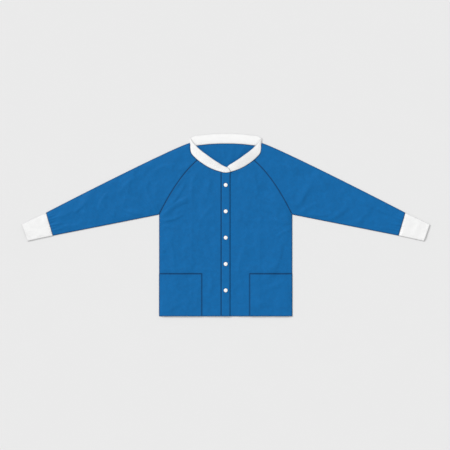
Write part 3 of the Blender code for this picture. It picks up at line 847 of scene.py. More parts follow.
# ---------------- materials
class Finish:
    """A material in the making, with its Principled shader, its Object coordinates and makers of nodes."""

    def __init__(self, name, **sockets):
        """Start a material whose shader has the given constant sockets."""
        self.material = bpy.data.materials.new(name)
        self.material.use_nodes = True
        self.tree = self.material.node_tree
        self.shader = self.tree.nodes["Principled BSDF"]
        for key, value in sockets.items():
            self.shader.inputs[key.replace("_", " ")].default_value = value
        self.place = self.node("ShaderNodeTexCoord").outputs["Object"]

    def node(self, kind, inputs=(), **settings):
        """A node with its settings, and its inputs set to a value or linked to another node's output."""
        made = self.tree.nodes.new(kind)
        for name, value in settings.items():
            setattr(made, name, value)
        for key, value in dict(inputs).items():
            if isinstance(value, bpy.types.NodeSocket):
                self.tree.links.new(value, made.inputs[key])
            else:
                made.inputs[key].default_value = value
        return made

    def math(self, operation, *values):
        """A sum, product or other function of values."""
        return self.node("ShaderNodeMath", enumerate(values), operation=operation).outputs[0]

    def spread(self, value, low, high, to_low=0.0, to_high=1.0):
        """A value taken from one range to another, held at its ends."""
        inputs = {"Value": value, "From Min": low, "From Max": high, "To Min": to_low, "To Max": to_high}
        return self.node("ShaderNodeMapRange", inputs).outputs["Result"]

    def mix(self, share, first, second):
        """Two colours mixed by the share of the second one."""
        return self.node("ShaderNodeMix", {0: share, 6: first, 7: second}, data_type="RGBA").outputs[2]

    def noise(self, place, scale, detail, roughness, **settings):
        """Noise with about scale lumps to each metre of its coordinates."""
        inputs = {"Vector": place, "Scale": scale, "Detail": detail, "Roughness": roughness}
        return self.node("ShaderNodeTexNoise", inputs, **settings).outputs["Fac"]

    def stretched(self, degrees, scale):
        """Object coordinates turned about Z and scaled on each axis."""
        inputs = {"Vector": self.place, "Rotation": (0.0, 0.0, math.radians(degrees)), "Scale": scale}
        return self.node("ShaderNodeMapping", inputs).outputs["Vector"]

    def own_map(self):
        """The two coordinates of the piece's own map."""
        own = self.node("ShaderNodeUVMap", uv_map="UVMap").outputs["UV"]
        return self.node("ShaderNodeSeparateXYZ", {"Vector": own}).outputs[:2]

    def seam_shade(self):
        """The piece's own attribute of darkening: the seams' darker thread and doubled cloth, and painted
        shade and shadow along its seams, folded edges, rib valleys, snap caps and lapped tip.
        """
        return self.node("ShaderNodeAttribute", attribute_name="seam_shade").outputs["Fac"]

    def bump(self, height, distance, strength, under=None):
        """A bump of the given height in metres, on top of another one if there is one."""
        inputs = {"Height": height, "Distance": distance, "Strength": strength}
        if under is not None:
            inputs["Normal"] = under
        return self.node("ShaderNodeBump", inputs).outputs["Normal"]

    def done(self, **links):
        """The material, after the last links to its shader."""
        for key, value in links.items():
            self.tree.links.new(value, self.shader.inputs[key.replace("_", " ")])
        return self.material


def colour(name, share=1.0):
    """A colour of the sidebar's, lighter or darker by a share, as red, green, blue and alpha."""
    channels = getattr(bpy.context.scene.jacket_colours, name)
    return (*(min(1.0, channel * share) for channel in channels), 1.0)


def nonwoven_material(name):
    """Spunbonded cloth: clouds of denser and thinner fibre, fine crossing fibres, rows of small bonded
    points that are flatter and darker, a soft crumple, and darker where the shade attribute is high: the
    seams' doubled cloth and thread, and painted shade and shadow."""
    new = Finish(name, Specular_IOR_Level=0.12, Sheen_Weight=0.04, Sheen_Roughness=0.45)
    cloud = new.noise(new.place, 75.0, 5.0, 0.62)
    drift = new.noise(new.place, 9.0, 3.0, 0.5)
    crossing = (new.stretched(degrees, (2600.0, 230.0, 300.0)) for degrees in (32.0, -41.0))
    fibre = new.math("MAXIMUM", *(new.noise(place, 1.0, 3.0, 0.6) for place in crossing))
    lattice = {"Vector": new.stretched(45.0, (560.0, 560.0, 0.0)), "Scale": 1.0, "Randomness": 0.06}
    points = new.node("ShaderNodeTexVoronoi", lattice, voronoi_dimensions="2D")
    bond = new.spread(points.outputs["Distance"], 0.20, 0.33, 1.0, 0.0)

    tone = new.mix(new.spread(cloud, 0.34, 0.66), colour("cloth", 0.93), colour("cloth", 1.07))
    tone = new.mix(new.spread(drift, 0.3, 0.7, 0.0, 0.5), tone, colour("cloth", 1.03))
    tone = new.mix(new.spread(fibre, 0.5, 0.75, 0.0, 0.16), tone, colour("cloth_light"))
    tone = new.mix(new.math("MULTIPLY", bond, 0.22), tone, colour("cloth_deep"))
    # Painted shade and shadow, with the seams' own darker tone, from the piece's attribute.
    tone = new.mix(new.math("MULTIPLY", new.seam_shade(), 0.94), tone, colour("cloth_deep"))
    rough = new.spread(cloud, 0.3, 0.7, 0.66, 0.78)
    rough = new.math("SUBTRACT", rough, new.math("MULTIPLY", bond, 0.16))
    crumple = new.noise(new.place, 42.0, 4.0, 0.55, noise_type="RIDGED_MULTIFRACTAL")
    soft = new.bump(crumple, 0.00035, 0.5)
    grain = new.math("SUBTRACT", new.math("MULTIPLY", fibre, 0.7), bond)
    return new.done(Base_Color=tone, Roughness=rough, Normal=new.bump(grain, 0.00012, 0.8, soft))


def rib_material(name):
    """Rib knit: columns of V-shaped stitches that follow the piece's own map, in millimetres across and
    along the ribs, over a fine yarn fuzz. Painted shade greys the hollows between the loops, and, where
    the shade attribute is high, the valleys between ribs, the seams, the folded edges and the lapped tip."""
    new = Finish(name, Specular_IOR_Level=0.25, Sheen_Weight=0.25, Sheen_Roughness=0.5)
    pitch, course = setting("rib_pitch"), setting("knit_course")
    across, up = new.own_map()
    rib_place = new.math("PINGPONG", new.math("DIVIDE", across, pitch / 2), 1.0)
    leg_place = new.math("PINGPONG", new.math("DIVIDE", across, pitch / 4), 1.0)
    turns = new.math("ADD", new.math("DIVIDE", up, course), new.math("MULTIPLY", leg_place, 0.45))
    loop = new.spread(new.math("SINE", new.math("MULTIPLY", turns, 2 * math.pi)), -1.0, 1.0)
    fuzz = new.noise(new.place, 2200.0, 3.0, 0.65)
    wash = new.noise(new.place, 30.0, 3.0, 0.5)

    tone = new.mix(new.spread(wash, 0.3, 0.7), colour("rib", 0.975), colour("rib", 1.01))
    tone = new.mix(new.spread(fuzz, 0.4, 0.8, 0.10, 0.0), tone, colour("rib_fuzz_and_painted_shade"))
    # Painted shade in the hollows between the knit's loops.
    tone = new.mix(new.spread(loop, 0.0, 0.5, 0.16, 0.0), tone, colour("rib_fuzz_and_painted_shade"))
    # Painted shade from the piece's attribute, with the seams' own darker tone.
    tone = new.mix(new.math("MULTIPLY", new.seam_shade(), 0.75), tone, colour("rib_fuzz_and_painted_shade"))
    rough = new.spread(fuzz, 0.3, 0.7, 0.82, 0.95)
    height = new.math("ADD", new.math("MULTIPLY", loop, 0.8), new.math("MULTIPLY", rib_place, 0.3))
    knit = new.bump(height, 0.00030, 0.8)
    return new.done(Base_Color=tone, Roughness=rough, Normal=new.bump(fuzz, 0.00010, 0.6, knit))


def snap_material(name):
    """Moulded white plastic with a faint flow mottle and fine handling scratches."""
    new = Finish(name, Specular_IOR_Level=0.45, IOR=1.49)
    flow = new.noise(new.place, 160.0, 3.0, 0.5)
    scratch = new.noise(new.stretched(20.0, (4000.0, 180.0, 400.0)), 1.0, 2.0, 0.5)
    tone = new.mix(new.spread(flow, 0.3, 0.7), colour("snap", 0.97), colour("snap", 1.02))
    rough = new.spread(scratch, 0.35, 0.7, 0.30, 0.48)
    return new.done(Base_Color=tone, Roughness=rough, Normal=new.bump(flow, 0.00006, 0.5))


def thread_material(name):
    """Twisted sewing thread: slanting plies that follow the thread's own map, with painted shade in the
    grooves between them, and a little fuzz.
    """
    new = Finish(name, Specular_IOR_Level=0.35, Sheen_Weight=0.15)
    across, up = new.own_map()
    turn = new.math("ADD", new.math("MULTIPLY", across, 2 * math.pi), new.math("MULTIPLY", up, 9.0))
    ply = new.spread(new.math("SINE", turn), -1.0, 1.0)
    fuzz = new.noise(new.place, 3000.0, 2.0, 0.6)
    # Painted shade in the grooves between the plies.
    tone = new.mix(new.spread(ply, 0.0, 0.6, 0.5, 0.0), colour("thread"), colour("thread_ply_painted_shade"))
    tone = new.mix(new.spread(fuzz, 0.4, 0.7, 0.0, 0.15), tone, colour("thread", 1.3))
    rough = new.spread(fuzz, 0.3, 0.7, 0.5, 0.7)
    return new.done(Base_Color=tone, Roughness=rough, Normal=new.bump(ply, 0.00008, 0.7))


def floor_material(name):
    """A matt pale studio floor with a barely visible mottle."""
    new = Finish(name, Specular_IOR_Level=0.1, Roughness=0.9)
    mottle = new.noise(new.place, 6.0, 4.0, 0.5)
    tone = new.mix(new.spread(mottle, 0.3, 0.7), colour("floor", 0.995), colour("floor"))
    return new.done(Base_Color=tone)


CLOTH_FINISH = "nonwoven_blue_cloth"
RIB_FINISH = "rib_knit_white_cotton"
SNAP_FINISH = "moulded_white_plastic"
THREAD_FINISH = "blue_thread"
FLOOR_FINISH = "studio_floor"
MATERIAL_MAKERS = {
    CLOTH_FINISH: nonwoven_material,
    RIB_FINISH: rib_material,
    SNAP_FINISH: snap_material,
    THREAD_FINISH: thread_material,
    FLOOR_FINISH: floor_material,
}


def finish(name):
    """A material, made once and then shared."""
    return bpy.data.materials.get(name) or MATERIAL_MAKERS[name](name)


# ---------------- body panels
def panel_plan(columns, step, top_of):
    """Plan points of a panel: rows that are level up to STRAIGHT_TOP, and then climb to its upper edge."""
    top = top_of(columns)
    level = HEM_Y + graded(STRAIGHT_TOP - HEM_Y, step, fine=1.2, zone=12.0, ends=(True, False))
    reach = float(np.max(top)) - STRAIGHT_TOP
    shares = graded(reach, step, fine=0.5, zone=12.0, ends=(False, True))[1:, None] / reach
    y = np.concatenate([level[:, None] + 0 * columns, STRAIGHT_TOP + shares * (top - STRAIGHT_TOP)])
    return np.broadcast_to(columns, y.shape), y


def front_plan(columns, step):
    """Plan points of a front."""
    return panel_plan(columns, step, front_top)


def pocket_plan(columns, step):
    """Plan points of a square patch: level rows from the hem to its upper edge."""
    level = HEM_Y + graded(POCKET_TOP - HEM_Y, step, fine=0.7, zone=10.0)
    return np.meshgrid(columns, level)


def side_seam_tone_and_painted_shade(x, y):
    """Darkening of the side seams, which run along the folded edge of the body: partly the seam's doubled
    cloth, and partly painted shade of the rolled edge.
    """
    return seam_shade(SIDE_X - np.abs(x)) * (y < UNDERARM[1] + 1.0)


def front_grid(side, inner_x, step, plan):
    """The outer surface of a front from inner_x to the side seam over its plan, and its shade.

    Its last columns go round a quarter circle, down to where the back's own quarter comes up."""
    straight = inner_x + graded(SIDE_X - EDGE_RADIUS - inner_x, step, fine=0.7, zone=10.0)
    bent = len(straight)
    x, y = plan(np.concatenate([straight, TURNED_X]), step)
    x = x * side
    z = front_surface(x, y, side)
    z[:, bent:] = z[:, bent - 1 : bent] - TURNED_CLIMB
    shade = darkest(upper_seams(x, y)[1], side_seam_tone_and_painted_shade(x, y), painted_edge_shade(x, y))
    if side < 0:
        shade = darkest(shade, seam_shade(np.abs(x) - BAND_HALF))
    return in_space(x, y, z), shade


def hem_wall(y):
    """The wall's thickness: one ply, and a second one turned up at the hem."""
    return setting("cloth_wall") + HEM_PLY * (1 - smooth((y - HEM_Y - HEM_TURN) / 0.8))


def add_front(word, side):
    """A front: its neckline, raglan seam, side seam and hem bound one height surface."""
    inner_x = BAND_HALF if side < 0 else -BAND_HALF
    outer, shade = front_grid(side, inner_x, FRONT_STEP, front_plan)
    x, y, _ = np.moveaxis(outer, 2, 0)
    # Painted shadow on the front beside the pocket's edges, drawn with the seams' darkening.
    shade = darkest(shade, seam_shade(distance_to(x, y, POCKET_OUTLINE)))
    mesh = shell_mesh(f"front_{word}_cloth", outer, hem_wall(y), shade)
    made = add_piece(mesh, CLOTH_SLOT, f"front_{word}")
    places = np.linspace(inner_x, SIDE_X, 400)
    area = area_above_hem(places, front_top(places))
    flat = ((SIDE_X - inner_x) * MM, (float(front_top(NECK_CORNER_X)) - HEM_Y) * MM)


def add_back():
    """The back lies flat, its outer face down, with low creases pressed up into it. Its sides turn up in
    quarter circles to the side seams, and its raglan edges lie against the sleeves' lower layers."""
    straight = SIDE_X - EDGE_RADIUS
    level = graded(2 * straight, BACK_STEP, fine=0.9, zone=10.0) - straight
    x, y = panel_plan(np.concatenate([-TURNED_X[::-1], level, TURNED_X]), BACK_STEP, back_top)
    z = back_low(x, y)
    climb = TURNED_CLIMB * 0.96  # so that it stays just under the front's edge
    z[:, : len(climb)] = climb[::-1]
    z[:, -len(climb) :] = climb
    seams = np.minimum(distance_to(x, y, BACK_RAGLAN_SEAM), distance_to(x, y, BACK_NECK_SEAM))
    shade = darkest(seam_shade(seams), side_seam_tone_and_painted_shade(x, y))
    mesh = shell_mesh("back_panel_cloth", in_space(x, y, z), hem_wall(y), shade, up=-1)
    made = add_piece(mesh, CLOTH_SLOT, "back_panel")
    places = np.linspace(-SIDE_X, SIDE_X, 600)
    area = area_above_hem(places, back_top(places))
    flat = (2 * SIDE_X * MM, (float(back_top(0.0)) - HEM_Y) * MM)


# ---------------- placket and pockets
def snap_ys():
    """The snaps' places up the centre front, from the frame."""
    boxes = [node_box(node) for node in sorted(frame["nodes"]) if node.startswith("snap_cap_")]
    return np.array([(low[1] + high[1]) / 2 for low, high in boxes])


def from_snaps(y):
    """How far up or down the band each place lies from the nearest snap."""
    return np.min(np.abs(np.asarray(y)[..., None] - snap_ys()), axis=-1)


def beside_cap(x, y):
    """How far each place of the band lies outside the rim of the nearest snap cap."""
    return np.hypot(x, from_snaps(y)) - CAP_RADIUS


def band_top(x, y):
    """The top of the placket band: crowned across like a quarter sine on each side, held up at each snap,
    sunk between them, dipped along both rows of stitching and curled down at its free edge. A cap presses
    a ring of cloth down beside its rim, with small puckers that run out from it."""
    crown = np.sin(math.pi / 2 * np.clip((BAND_HALF - np.abs(x)) / BAND_CROWN_REACH, 0.0, 1.0))
    from_snap = from_snaps(y)
    between = crown * (1 - bell(from_snap, SNAP_HOLD))
    height = (BAND_HIGH[2] - CLOTH - BAND_EDGE_Z) * crown - LAP_DEPTH * between
    height = height + 0.25 * ripple(y, 47.0, 0.7) * between
    height = height + 0.16 * ripple(y, 11.0, 2.0) * bell(np.abs(x) - BAND_HALF + 3.0, 3.0)
    height = height - 0.45 * sum(bell(x - row, ROW_WIDTH) for row in BAND_STITCH_ROWS)
    joined = -setting("seam_depth") * bell(x + BAND_HALF, SEAM_WIDTH)
    curled = -0.9 * bell(x - BAND_HALF, FOLD_WIDTH)
    ring = beside_cap(x, y)
    puckers = np.cos(7 * np.arctan2(x, from_snap + 0.4) + 0.13 * np.asarray(y))
    pressed = -0.4 * bell(ring - 0.9, 1.5) + 0.16 * puckers * bell(ring - 2.8, 2.4)
    return BAND_EDGE_Z + CLOTH + height + joined + curled + pressed


def add_placket():
    """The placket band: one strip whose rows run from hem to neckline."""
    columns = graded(2 * BAND_HALF, coarse=1.2, fine=0.5, zone=6.0) - BAND_HALF
    shares = graded(NECK_Y - HEM_Y, coarse=1.3, fine=0.8, zone=8.0)[:, None] / (NECK_Y - HEM_Y)
    y = HEM_Y + shares * (neckline_y(columns) - HEM_Y)
    x = np.broadcast_to(columns, y.shape)
    neck, place = nearest_on(np.abs(x), y, NECK_SEAM)
    z = band_top(x, y) + seam_dip(neck, place, 1.0)
    # The band's seams and its folded free edge are darkened alike; at the free edge, and along the hem,
    # the darkening is painted shade.
    sewn = np.minimum(neck, BAND_HALF - np.abs(x))
    # A painted contact shadow rings each snap cap, on the cloth that it presses.
    cap_painted_shadow = CAP_PAINTED_SHADOW * bell(beside_cap(x, y), 2.0)
    shade = darkest(seam_shade(sewn), painted_edge_shade(x, y), cap_painted_shadow)
    wall = hem_wall(y) + 0.25 * bell(x - BAND_HALF, 4.0)
    mesh = shell_mesh("placket_cloth", in_space(x, y, z), wall, shade)
    made = add_piece(mesh, CLOTH_SLOT, "front_band")
    area = area_above_hem(columns, neckline_y(columns))
    flat = (2 * BAND_HALF * MM, (float(neckline_y(BAND_HALF)) - HEM_Y) * MM)


def pocket_grid(side):
    """The outer surface of a pocket: the front's own points moved out along their normals. It stands off
    most along its open top, and is pressed down where its inner side is sewn."""
    base, shade = front_grid(side, POCKET_X, POCKET_STEP, pocket_plan)
    x, y, _ = np.moveaxis(base, 2, 0)
    from_side, from_top, from_hem = np.abs(x) - POCKET_X, POCKET_TOP - y, y - HEM_Y
    uneven = 1 + 0.5 * ripple(from_side, 90.0, side)
    gape = POCKET_GAPE * bell(from_top, 10.0) * smooth(from_side / 40.0) * uneven
    swell = POCKET_SWELL * smooth(from_side / 60.0) * smooth(from_top / 60.0) * smooth(from_hem / 60.0)
    swell = swell * (1 + 0.5 * undulation(x, y, 60.0, 2.0 + side))
    sewn = 0.35 * bell(from_side, 2.4) - 0.12 * ripple(from_top, 12.0, side) * bell(from_side, 5.0)
    beside_row = 0.3 * bell(from_side - STITCH_INSET, ROW_WIDTH)
    top_row = 0.25 * bell(from_top - STITCH_INSET, ROW_WIDTH)
    ply = setting("cloth_wall")
    free = POCKET_LIFT + gape + swell - sewn - beside_row - top_row - ply
    lift = ply + free * smooth((SIDE_X - np.abs(x)) / 30.0)
    # The sewn inner edge and the turned top are darkened like seams: partly doubled cloth, partly painted
    # shade.
    shade = darkest(shade, seam_shade(from_side), seam_shade(from_top))
    return base + grid_normals(base) * lift[..., None], shade


def add_pocket(word, side):
    """A square patch pocket, caught in the side seam and the hem."""
    outer, shade = pocket_grid(side)
    mesh = shell_mesh(f"pocket_{word}_cloth", outer, setting("cloth_wall"), shade)
    made = add_piece(mesh, CLOTH_SLOT, f"pocket_{word}")


# ---------------- sleeves and cuffs
def pulled_in(lines, first, last):
    """Plan lines whose two ends are moved in, and the points beside them by a high power of their share of
    the line's length, so that they keep their order."""
    steps = np.linalg.norm(np.diff(lines, axis=1), axis=2)
    share = np.pad(np.cumsum(steps, axis=1), ((0, 0), (1, 0)))
    share = (share / share[:, -1:])[..., None]
    return lines - (1 - share) ** 8 * first[:, None] - share**8 * last[:, None]


def folded_rings(upper, lower, shoulder_out, under_out, radius, arc_points, top_of, low_of, side):
    """Rings of a flattened tube, from plan lines (rings, points, 2) that run from underarm to shoulder.

    Each ring goes over the upper line, down a half circle at the shoulder, back along the lower line and
    up a half circle at the underarm. Both lines are pulled in by the radius at their ends. The lines and
    directions are given on the side of +X, and the rings come out on the given side."""
    upper = pulled_in(upper, radius * under_out, radius * shoulder_out)
    lower = pulled_in(lower, radius * under_out, radius * shoulder_out)
    bend = inner_steps(math.pi / 2, -math.pi / 2, arc_points)

    def arc(center, out, bends):
        """The half circle that leads out of the plan line's end."""
        flat = center[:, None] + radius * np.cos(bends)[None, :, None] * out[:, None]
        return in_space(flat[..., 0], flat[..., 1], radius + radius * np.sin(bends))

    top = top_of(upper[..., 0] * side, upper[..., 1])
    top[:, [0, -1]] = 2 * radius
    low = low_of(lower[..., 0] * side, lower[..., 1])
    low[:, [0, -1]] = 0.0
    parts = (
        np.dstack([upper, top]),
        arc(upper[:, -1], shoulder_out, bend),
        np.dstack([lower, low])[:, ::-1],
        arc(lower[:, 0], under_out, -bend),
    )
    return np.concatenate(parts, axis=1) * (side, 1, 1)


def sleeve_starts():
    """Plan lines of a sleeve's open end, from underarm to shoulder: the front raglan seam and the neck for
    the upper layer, and the back raglan seam and the neck for the lower one."""
    raglan = cubic(FRONT_RAGLAN, 200)[::-1]
    neck = np.vstack([raglan[-1:], NECKLINE[NECKLINE[:, 0] > NECK_CORNER_X], [SHOULDER]])
    first = graded(along(raglan)[-1], coarse=5.0, fine=1.5, zone=12.0)
    second = graded(along(neck)[-1], coarse=4.0, fine=1.5, zone=10.0)[1:]
    upper = np.vstack([read_at(raglan, first), read_at(neck, second)])
    back = np.vstack([cubic(BACK_RAGLAN, 200)[::-1], COLLAR_FOLD[:2], [SHOULDER]])
    lower = read_at(back, graded(along(back)[-1], coarse=9.0, fine=1.5, zone=12.0))
    return upper, lower


def sleeve_lines(start, s):
    """Plan lines from underarm to shoulder, one for each place s along the sleeve: blends of its open end
    and the cuff seam, whose shoulder ends are lifted onto the shoulder line."""
    across = along(start)[:, None] / along(start)[-1]
    end = CUFF_SEAM[0] + across * (CUFF_SEAM[1] - CUFF_SEAM[0])
    lines = (1 - s[..., None]) * start + s[..., None] * end
    lift = height_on(SHOULDER_LINE, lines[:, -1, 0]) - lines[:, -1, 1]
    lines[..., 1] += across[:, 0] * lift[:, None]
    return lines


def sleeve_low(x, y):
    """The underside of a sleeve: pressed flat, with shallow creases."""
    return pressed_low(x, y, SLEEVE_HILLS)


def sleeve_shade(x, y, z):
    """Shade of a sleeve's seams, partly painted: the shared ones above, the back raglan below, and the
    underarm seam; and painted shade along its folded edges.
    """
    lower = np.minimum(distance_to(x, y, BACK_RAGLAN_SEAM), distance_to(x, y, CUFF_SEAM))
    shade = np.where(z > EDGE_RADIUS, upper_seams(x, y)[1], seam_shade(lower))
    underarm = seam_shade(distance_to(x, y, (UNDERARM, CUFF_UNDER)))
    return darkest(shade, underarm, painted_edge_shade(x, y))


def add_sleeve(word, side):
    """A raglan sleeve: rings from the raglan seam to the cuff seam, with the upper layer on the shared
    height surface."""
    seam_up = unit(CUFF_SEAM[1] - CUFF_SEAM[0])
    reach = along(np.array([UNDERARM, CUFF_UNDER]))[-1]
    s = graded(reach, coarse=3.3, fine=0.6, zone=10.0)[:, None] / reach
    shoulder_out = unit((1 - s) * left_of(SHOULDER, CUFF_TOP) + s * seam_up)
    under_out = unit((s - 1) * left_of(UNDERARM, CUFF_UNDER) - s * seam_up)
    lines = [sleeve_lines(start, s) for start in sleeve_starts()]
    outs = shoulder_out, under_out
    rings = folded_rings(*lines, *outs, EDGE_RADIUS, SLEEVE_ARC, upper_top, sleeve_low, side)
    shade = sleeve_shade(*np.moveaxis(rings, 2, 0))
    mesh = tube_mesh(f"sleeve_{word}_cloth", rings, setting("cloth_wall"), shade)
    made = add_piece(mesh, CLOTH_SLOT, f"sleeve_{word}")
    widest = sum(along(line[0])[-1] for line in lines) * MM


def floor_level(x, y):
    """The underside of a cuff: the floor's level."""
    return np.zeros(np.shape(x))


def painted_knit_shade(wave, *edges):
    """Painted shade of the knit: a little in its valleys, and more at its seams and folded edges; at the
    seams it is partly the doubled knit's own darker tone.
    """
    return darkest(RIB_VALLEY_PAINTED_SHADE * (1 - wave) / 2, *edges)


def add_cuff(word, side):
    """A rib cuff: a flattened tube that narrows to the wrist, where its doubled wall is folded over.

    Ribs are waves of a cosine of the place round the tube, so that they run along it. The wrist end is a
    half circle of the wall, and the inner rings are the outer ones moved in by the wall."""
    half_wall = RIB / 2
    axis = unit(CUFF_END - CUFF_SEAM)
    end = CUFF_END - half_wall * axis
    reach = np.linalg.norm(end[1] - CUFF_SEAM[1])
    s = graded(reach, coarse=2.6, fine=0.7, zone=8.0)
    share = (s / reach)[:, None, None]
    ends = (1 - share) * CUFF_SEAM + share * end
    up = unit(ends[:, 1] - ends[:, 0])
    across = np.linspace(0.0, 1.0, CUFF_ACROSS)[None, :, None]
    line = ends[:, :1] + across * (ends[:, 1:] - ends[:, :1])
    base = folded_rings(line, line, up, -up, CUFF_RADIUS, CUFF_ARC, cuff_top_z, floor_level, side)
    normals = grid_normals(base, around=True)
    middle = base[len(base) // 2]
    round_places = along(np.vstack([middle, middle[:1]]))
    wave = rib_wave(round_places)[:-1]
    on_floor = base[..., 2] < 0.2
    relief = setting("rib_relief") * (wave - 1) * np.where(on_floor, 0.5, 1.0)
    outer = base + normals * relief[..., None]
    outer[..., 2] = np.maximum(outer[..., 2], 0.0)
    tip = np.append(axis.mean(axis=0) * (side, 1), 0.0)
    turns = inner_steps(0.0, math.pi, CUFF_FOLD_ARC)[:, None, None]
    center = base[-1] - normals[-1] * half_wall
    reach_out = (half_wall + relief[-1])[:, None]
    fold = center + reach_out * (normals[-1] * np.cos(turns) + tip * np.sin(turns))
    inner = (base - normals * RIB)[::-CUFF_INNER_STEP]
    rings = np.concatenate([outer, fold, inner])
    fold_places = reach + half_wall * turns[:, 0, 0]
    lengths = np.concatenate([s, fold_places, reach + 4.0 + along(inner[:, 0])])
    x, y, _ = np.moveaxis(rings, 2, 0)
    # Painted shade along the cuff's folded edges.
    folded = FOLD_PAINTED_SHADE * bell(distance_to(x, y, CUFF_OUTLINE), FOLD_WIDTH)
    shade = painted_knit_shade(wave, seam_shade(distance_to(x, y, CUFF_SEAM)), folded)
    mesh = knit_mesh(f"cuff_{word}_knit", rings, shade, lengths, round_places, True)
    made = add_piece(mesh, RIB_SLOT, f"cuff_{word}")


# ---------------- collar
def collar_low(x, y, side):
    """The underside of the collar's seam edge, which follows the upper layer and laps at the centre."""
    low = frame_low(x, y)
    if side < 0:
        lapped = (COLLAR_LAP_Z - BAND_EDGE_Z) * (1 - smooth((np.abs(x) - BAND_HALF) / BAND_HALF))
        low = low + right_rise(x) + lapped
    return np.maximum(low, RIB + SEAM)


def fold_row():
    """The row of the collar's table at its side fold, which the fold's own radius moves inwards."""
    seam_x, seam_y, free_x, free_y = COLLAR_FOLD
    return seam_x - CUFF_RADIUS, seam_y, free_x - CUFF_RADIUS, free_y


def even_rows(rows, reach):
    """The columns of a smooth curve through the collar's rows, at even steps."""
    return through(rows, graded(reach, COLLAR_STEP, COLLAR_STEP, zone=1.0)).T


def collar_front_half(side, ends, end_lift):
    """One front half of the collar's middle surface, from its lapped tip to the fold at the side, as two
    edges: the seam edge and the free edge, each as points in space."""
    rows = [(x, float(neckline_y(x)), free_x, free_y, end_lift) for x, free_x, free_y in ends]
    rows = np.array([*rows, *COLLAR_FRONT, (*fold_row(), 0.0)])
    x, y, free_x, free_y, lift = even_rows(rows, along(rows[:, :2])[-1])
    low = collar_low(x, y, side) + RIB / 2
    return in_space(x * side, y, low), in_space(free_x * side, free_y, low + np.maximum(lift, 0.0))


def collar_side_fold(side):
    """The fold at the side: both edges go round a half circle from the front layer down to the back."""
    turns = inner_steps(math.pi / 2, -math.pi / 2, SIDE_FOLD_ARC)
    radius = (RIB + SEAM) / 2
    out, z = radius * np.cos(turns), CUFF_RADIUS + radius * np.sin(turns)
    seam_x, seam_y, free_x, free_y = fold_row()
    return in_space((seam_x + out) * side, seam_y, z), in_space((free_x + out) * side, free_y, z)


def collar_back_half(side):
    """One back half of the middle surface, from the side fold to the centre back, flat on the floor."""
    beyond = np.multiply(COLLAR_BACK[-2], (-1, 1, -1, 1))
    rows = np.array([fold_row(), *COLLAR_BACK, beyond])
    x, y, free_x, free_y = even_rows(rows, along(rows[:-1, :2])[-1])
    return in_space(x * side, y, RIB / 2), in_space(free_x * side, free_y, RIB / 2)


def collar_edges():
    """Both edges of the whole band, from the under tip round the neck to the over tip."""
    left = collar_front_half(1, COLLAR_UNDER_END, COLLAR_UNDER_LIFT)
    right = collar_front_half(-1, COLLAR_OVER_END, COLLAR_OVER_LIFT)
    left_half = zip(left, collar_side_fold(1), collar_back_half(1))
    right_half = zip(right, collar_side_fold(-1), collar_back_half(-1))
    for (front, fold, back), (far_front, far_fold, far_back) in zip(left_half, right_half):
        yield np.concatenate([front, fold, back, far_back[-2::-1], far_fold[::-1], far_front[::-1]])


def add_collar():
    """The rib band: a flat loop of wall, folded at its free edge, carried round the neck.

    Its middle surface spans the seam edge and the free edge, and arches up across the front. The wall is
    the middle surface moved both ways along its normals, with half circles at both edges, and its
    thickness waves with the ribs."""
    seam, free = collar_edges()
    width = np.linalg.norm(free - seam, axis=1)
    across = (free - seam) / width[:, None]
    inset = np.minimum(RIB / 2 / width, 0.45)[:, None]
    v = inset + np.linspace(0.0, 1.0, COLLAR_ACROSS) * (1 - 2 * inset)
    middle = seam[:, None] + v[..., None] * (free - seam)[:, None]
    raised = smooth((middle[..., 2] - RIB - SEAM) / 3.0)
    arch = COLLAR_ARCH * np.sin(math.pi * v) + 0.4 * ripple(along(seam), 70.0)[:, None] * v
    middle[..., 2] += arch * raised
    normals = grid_normals(middle)
    on_front = middle[..., 2] > 2 * RIB
    normals *= np.sign(normals[on_front][:, 2].sum())

    places = along((seam + free) / 2)
    wave = rib_wave(places)
    turned = 1 - np.abs(normals[:, COLLAR_ACROSS // 2, 2])
    relief = setting("rib_relief") * (wave - 1) * (1 - 0.6 * turned)
    half = (RIB / 2 + relief)[:, None, None]
    turns = inner_steps(0.0, math.pi, COLLAR_ARC)[:, None]
    out = across[:, None]
    free_arc = middle[:, -1:] + half * (normals[:, -1:] * np.cos(turns) + out * np.sin(turns))
    seam_arc = middle[:, :1] - half * (normals[:, :1] * np.cos(turns) + out * np.sin(turns))
    under = (middle - half * normals)[:, ::-1]
    band = np.concatenate([middle + half * normals, free_arc, under, seam_arc], axis=1)
    band[..., 2] = np.maximum(band[..., 2], 0.0)

    round_places = along(np.vstack([band[0], band[0][:1]]))
    from_seam = np.linalg.norm(band - seam[:, None], axis=2)
    from_free = np.linalg.norm(band - free[:, None], axis=2)
    from_lap = nearest_on(band[..., 0], band[..., 1], LAP_EDGE)[0]
    # Painted shade along the band's folded free edge.
    folded = FOLD_PAINTED_SHADE * bell(from_free, FOLD_WIDTH)
    # A painted shadow along the over tip's free edge, on the tip and the under end beside it.
    lapped = LAP_PAINTED_SHADOW * bell(from_lap, FOLD_WIDTH)
    shade = painted_knit_shade(wave[:, None], bell(from_seam, 1.6), folded, lapped)
    mesh = knit_mesh("collar_knit", band, shade, places, round_places, False, caps=True)
    made = add_piece(mesh, RIB_SLOT, "collar")


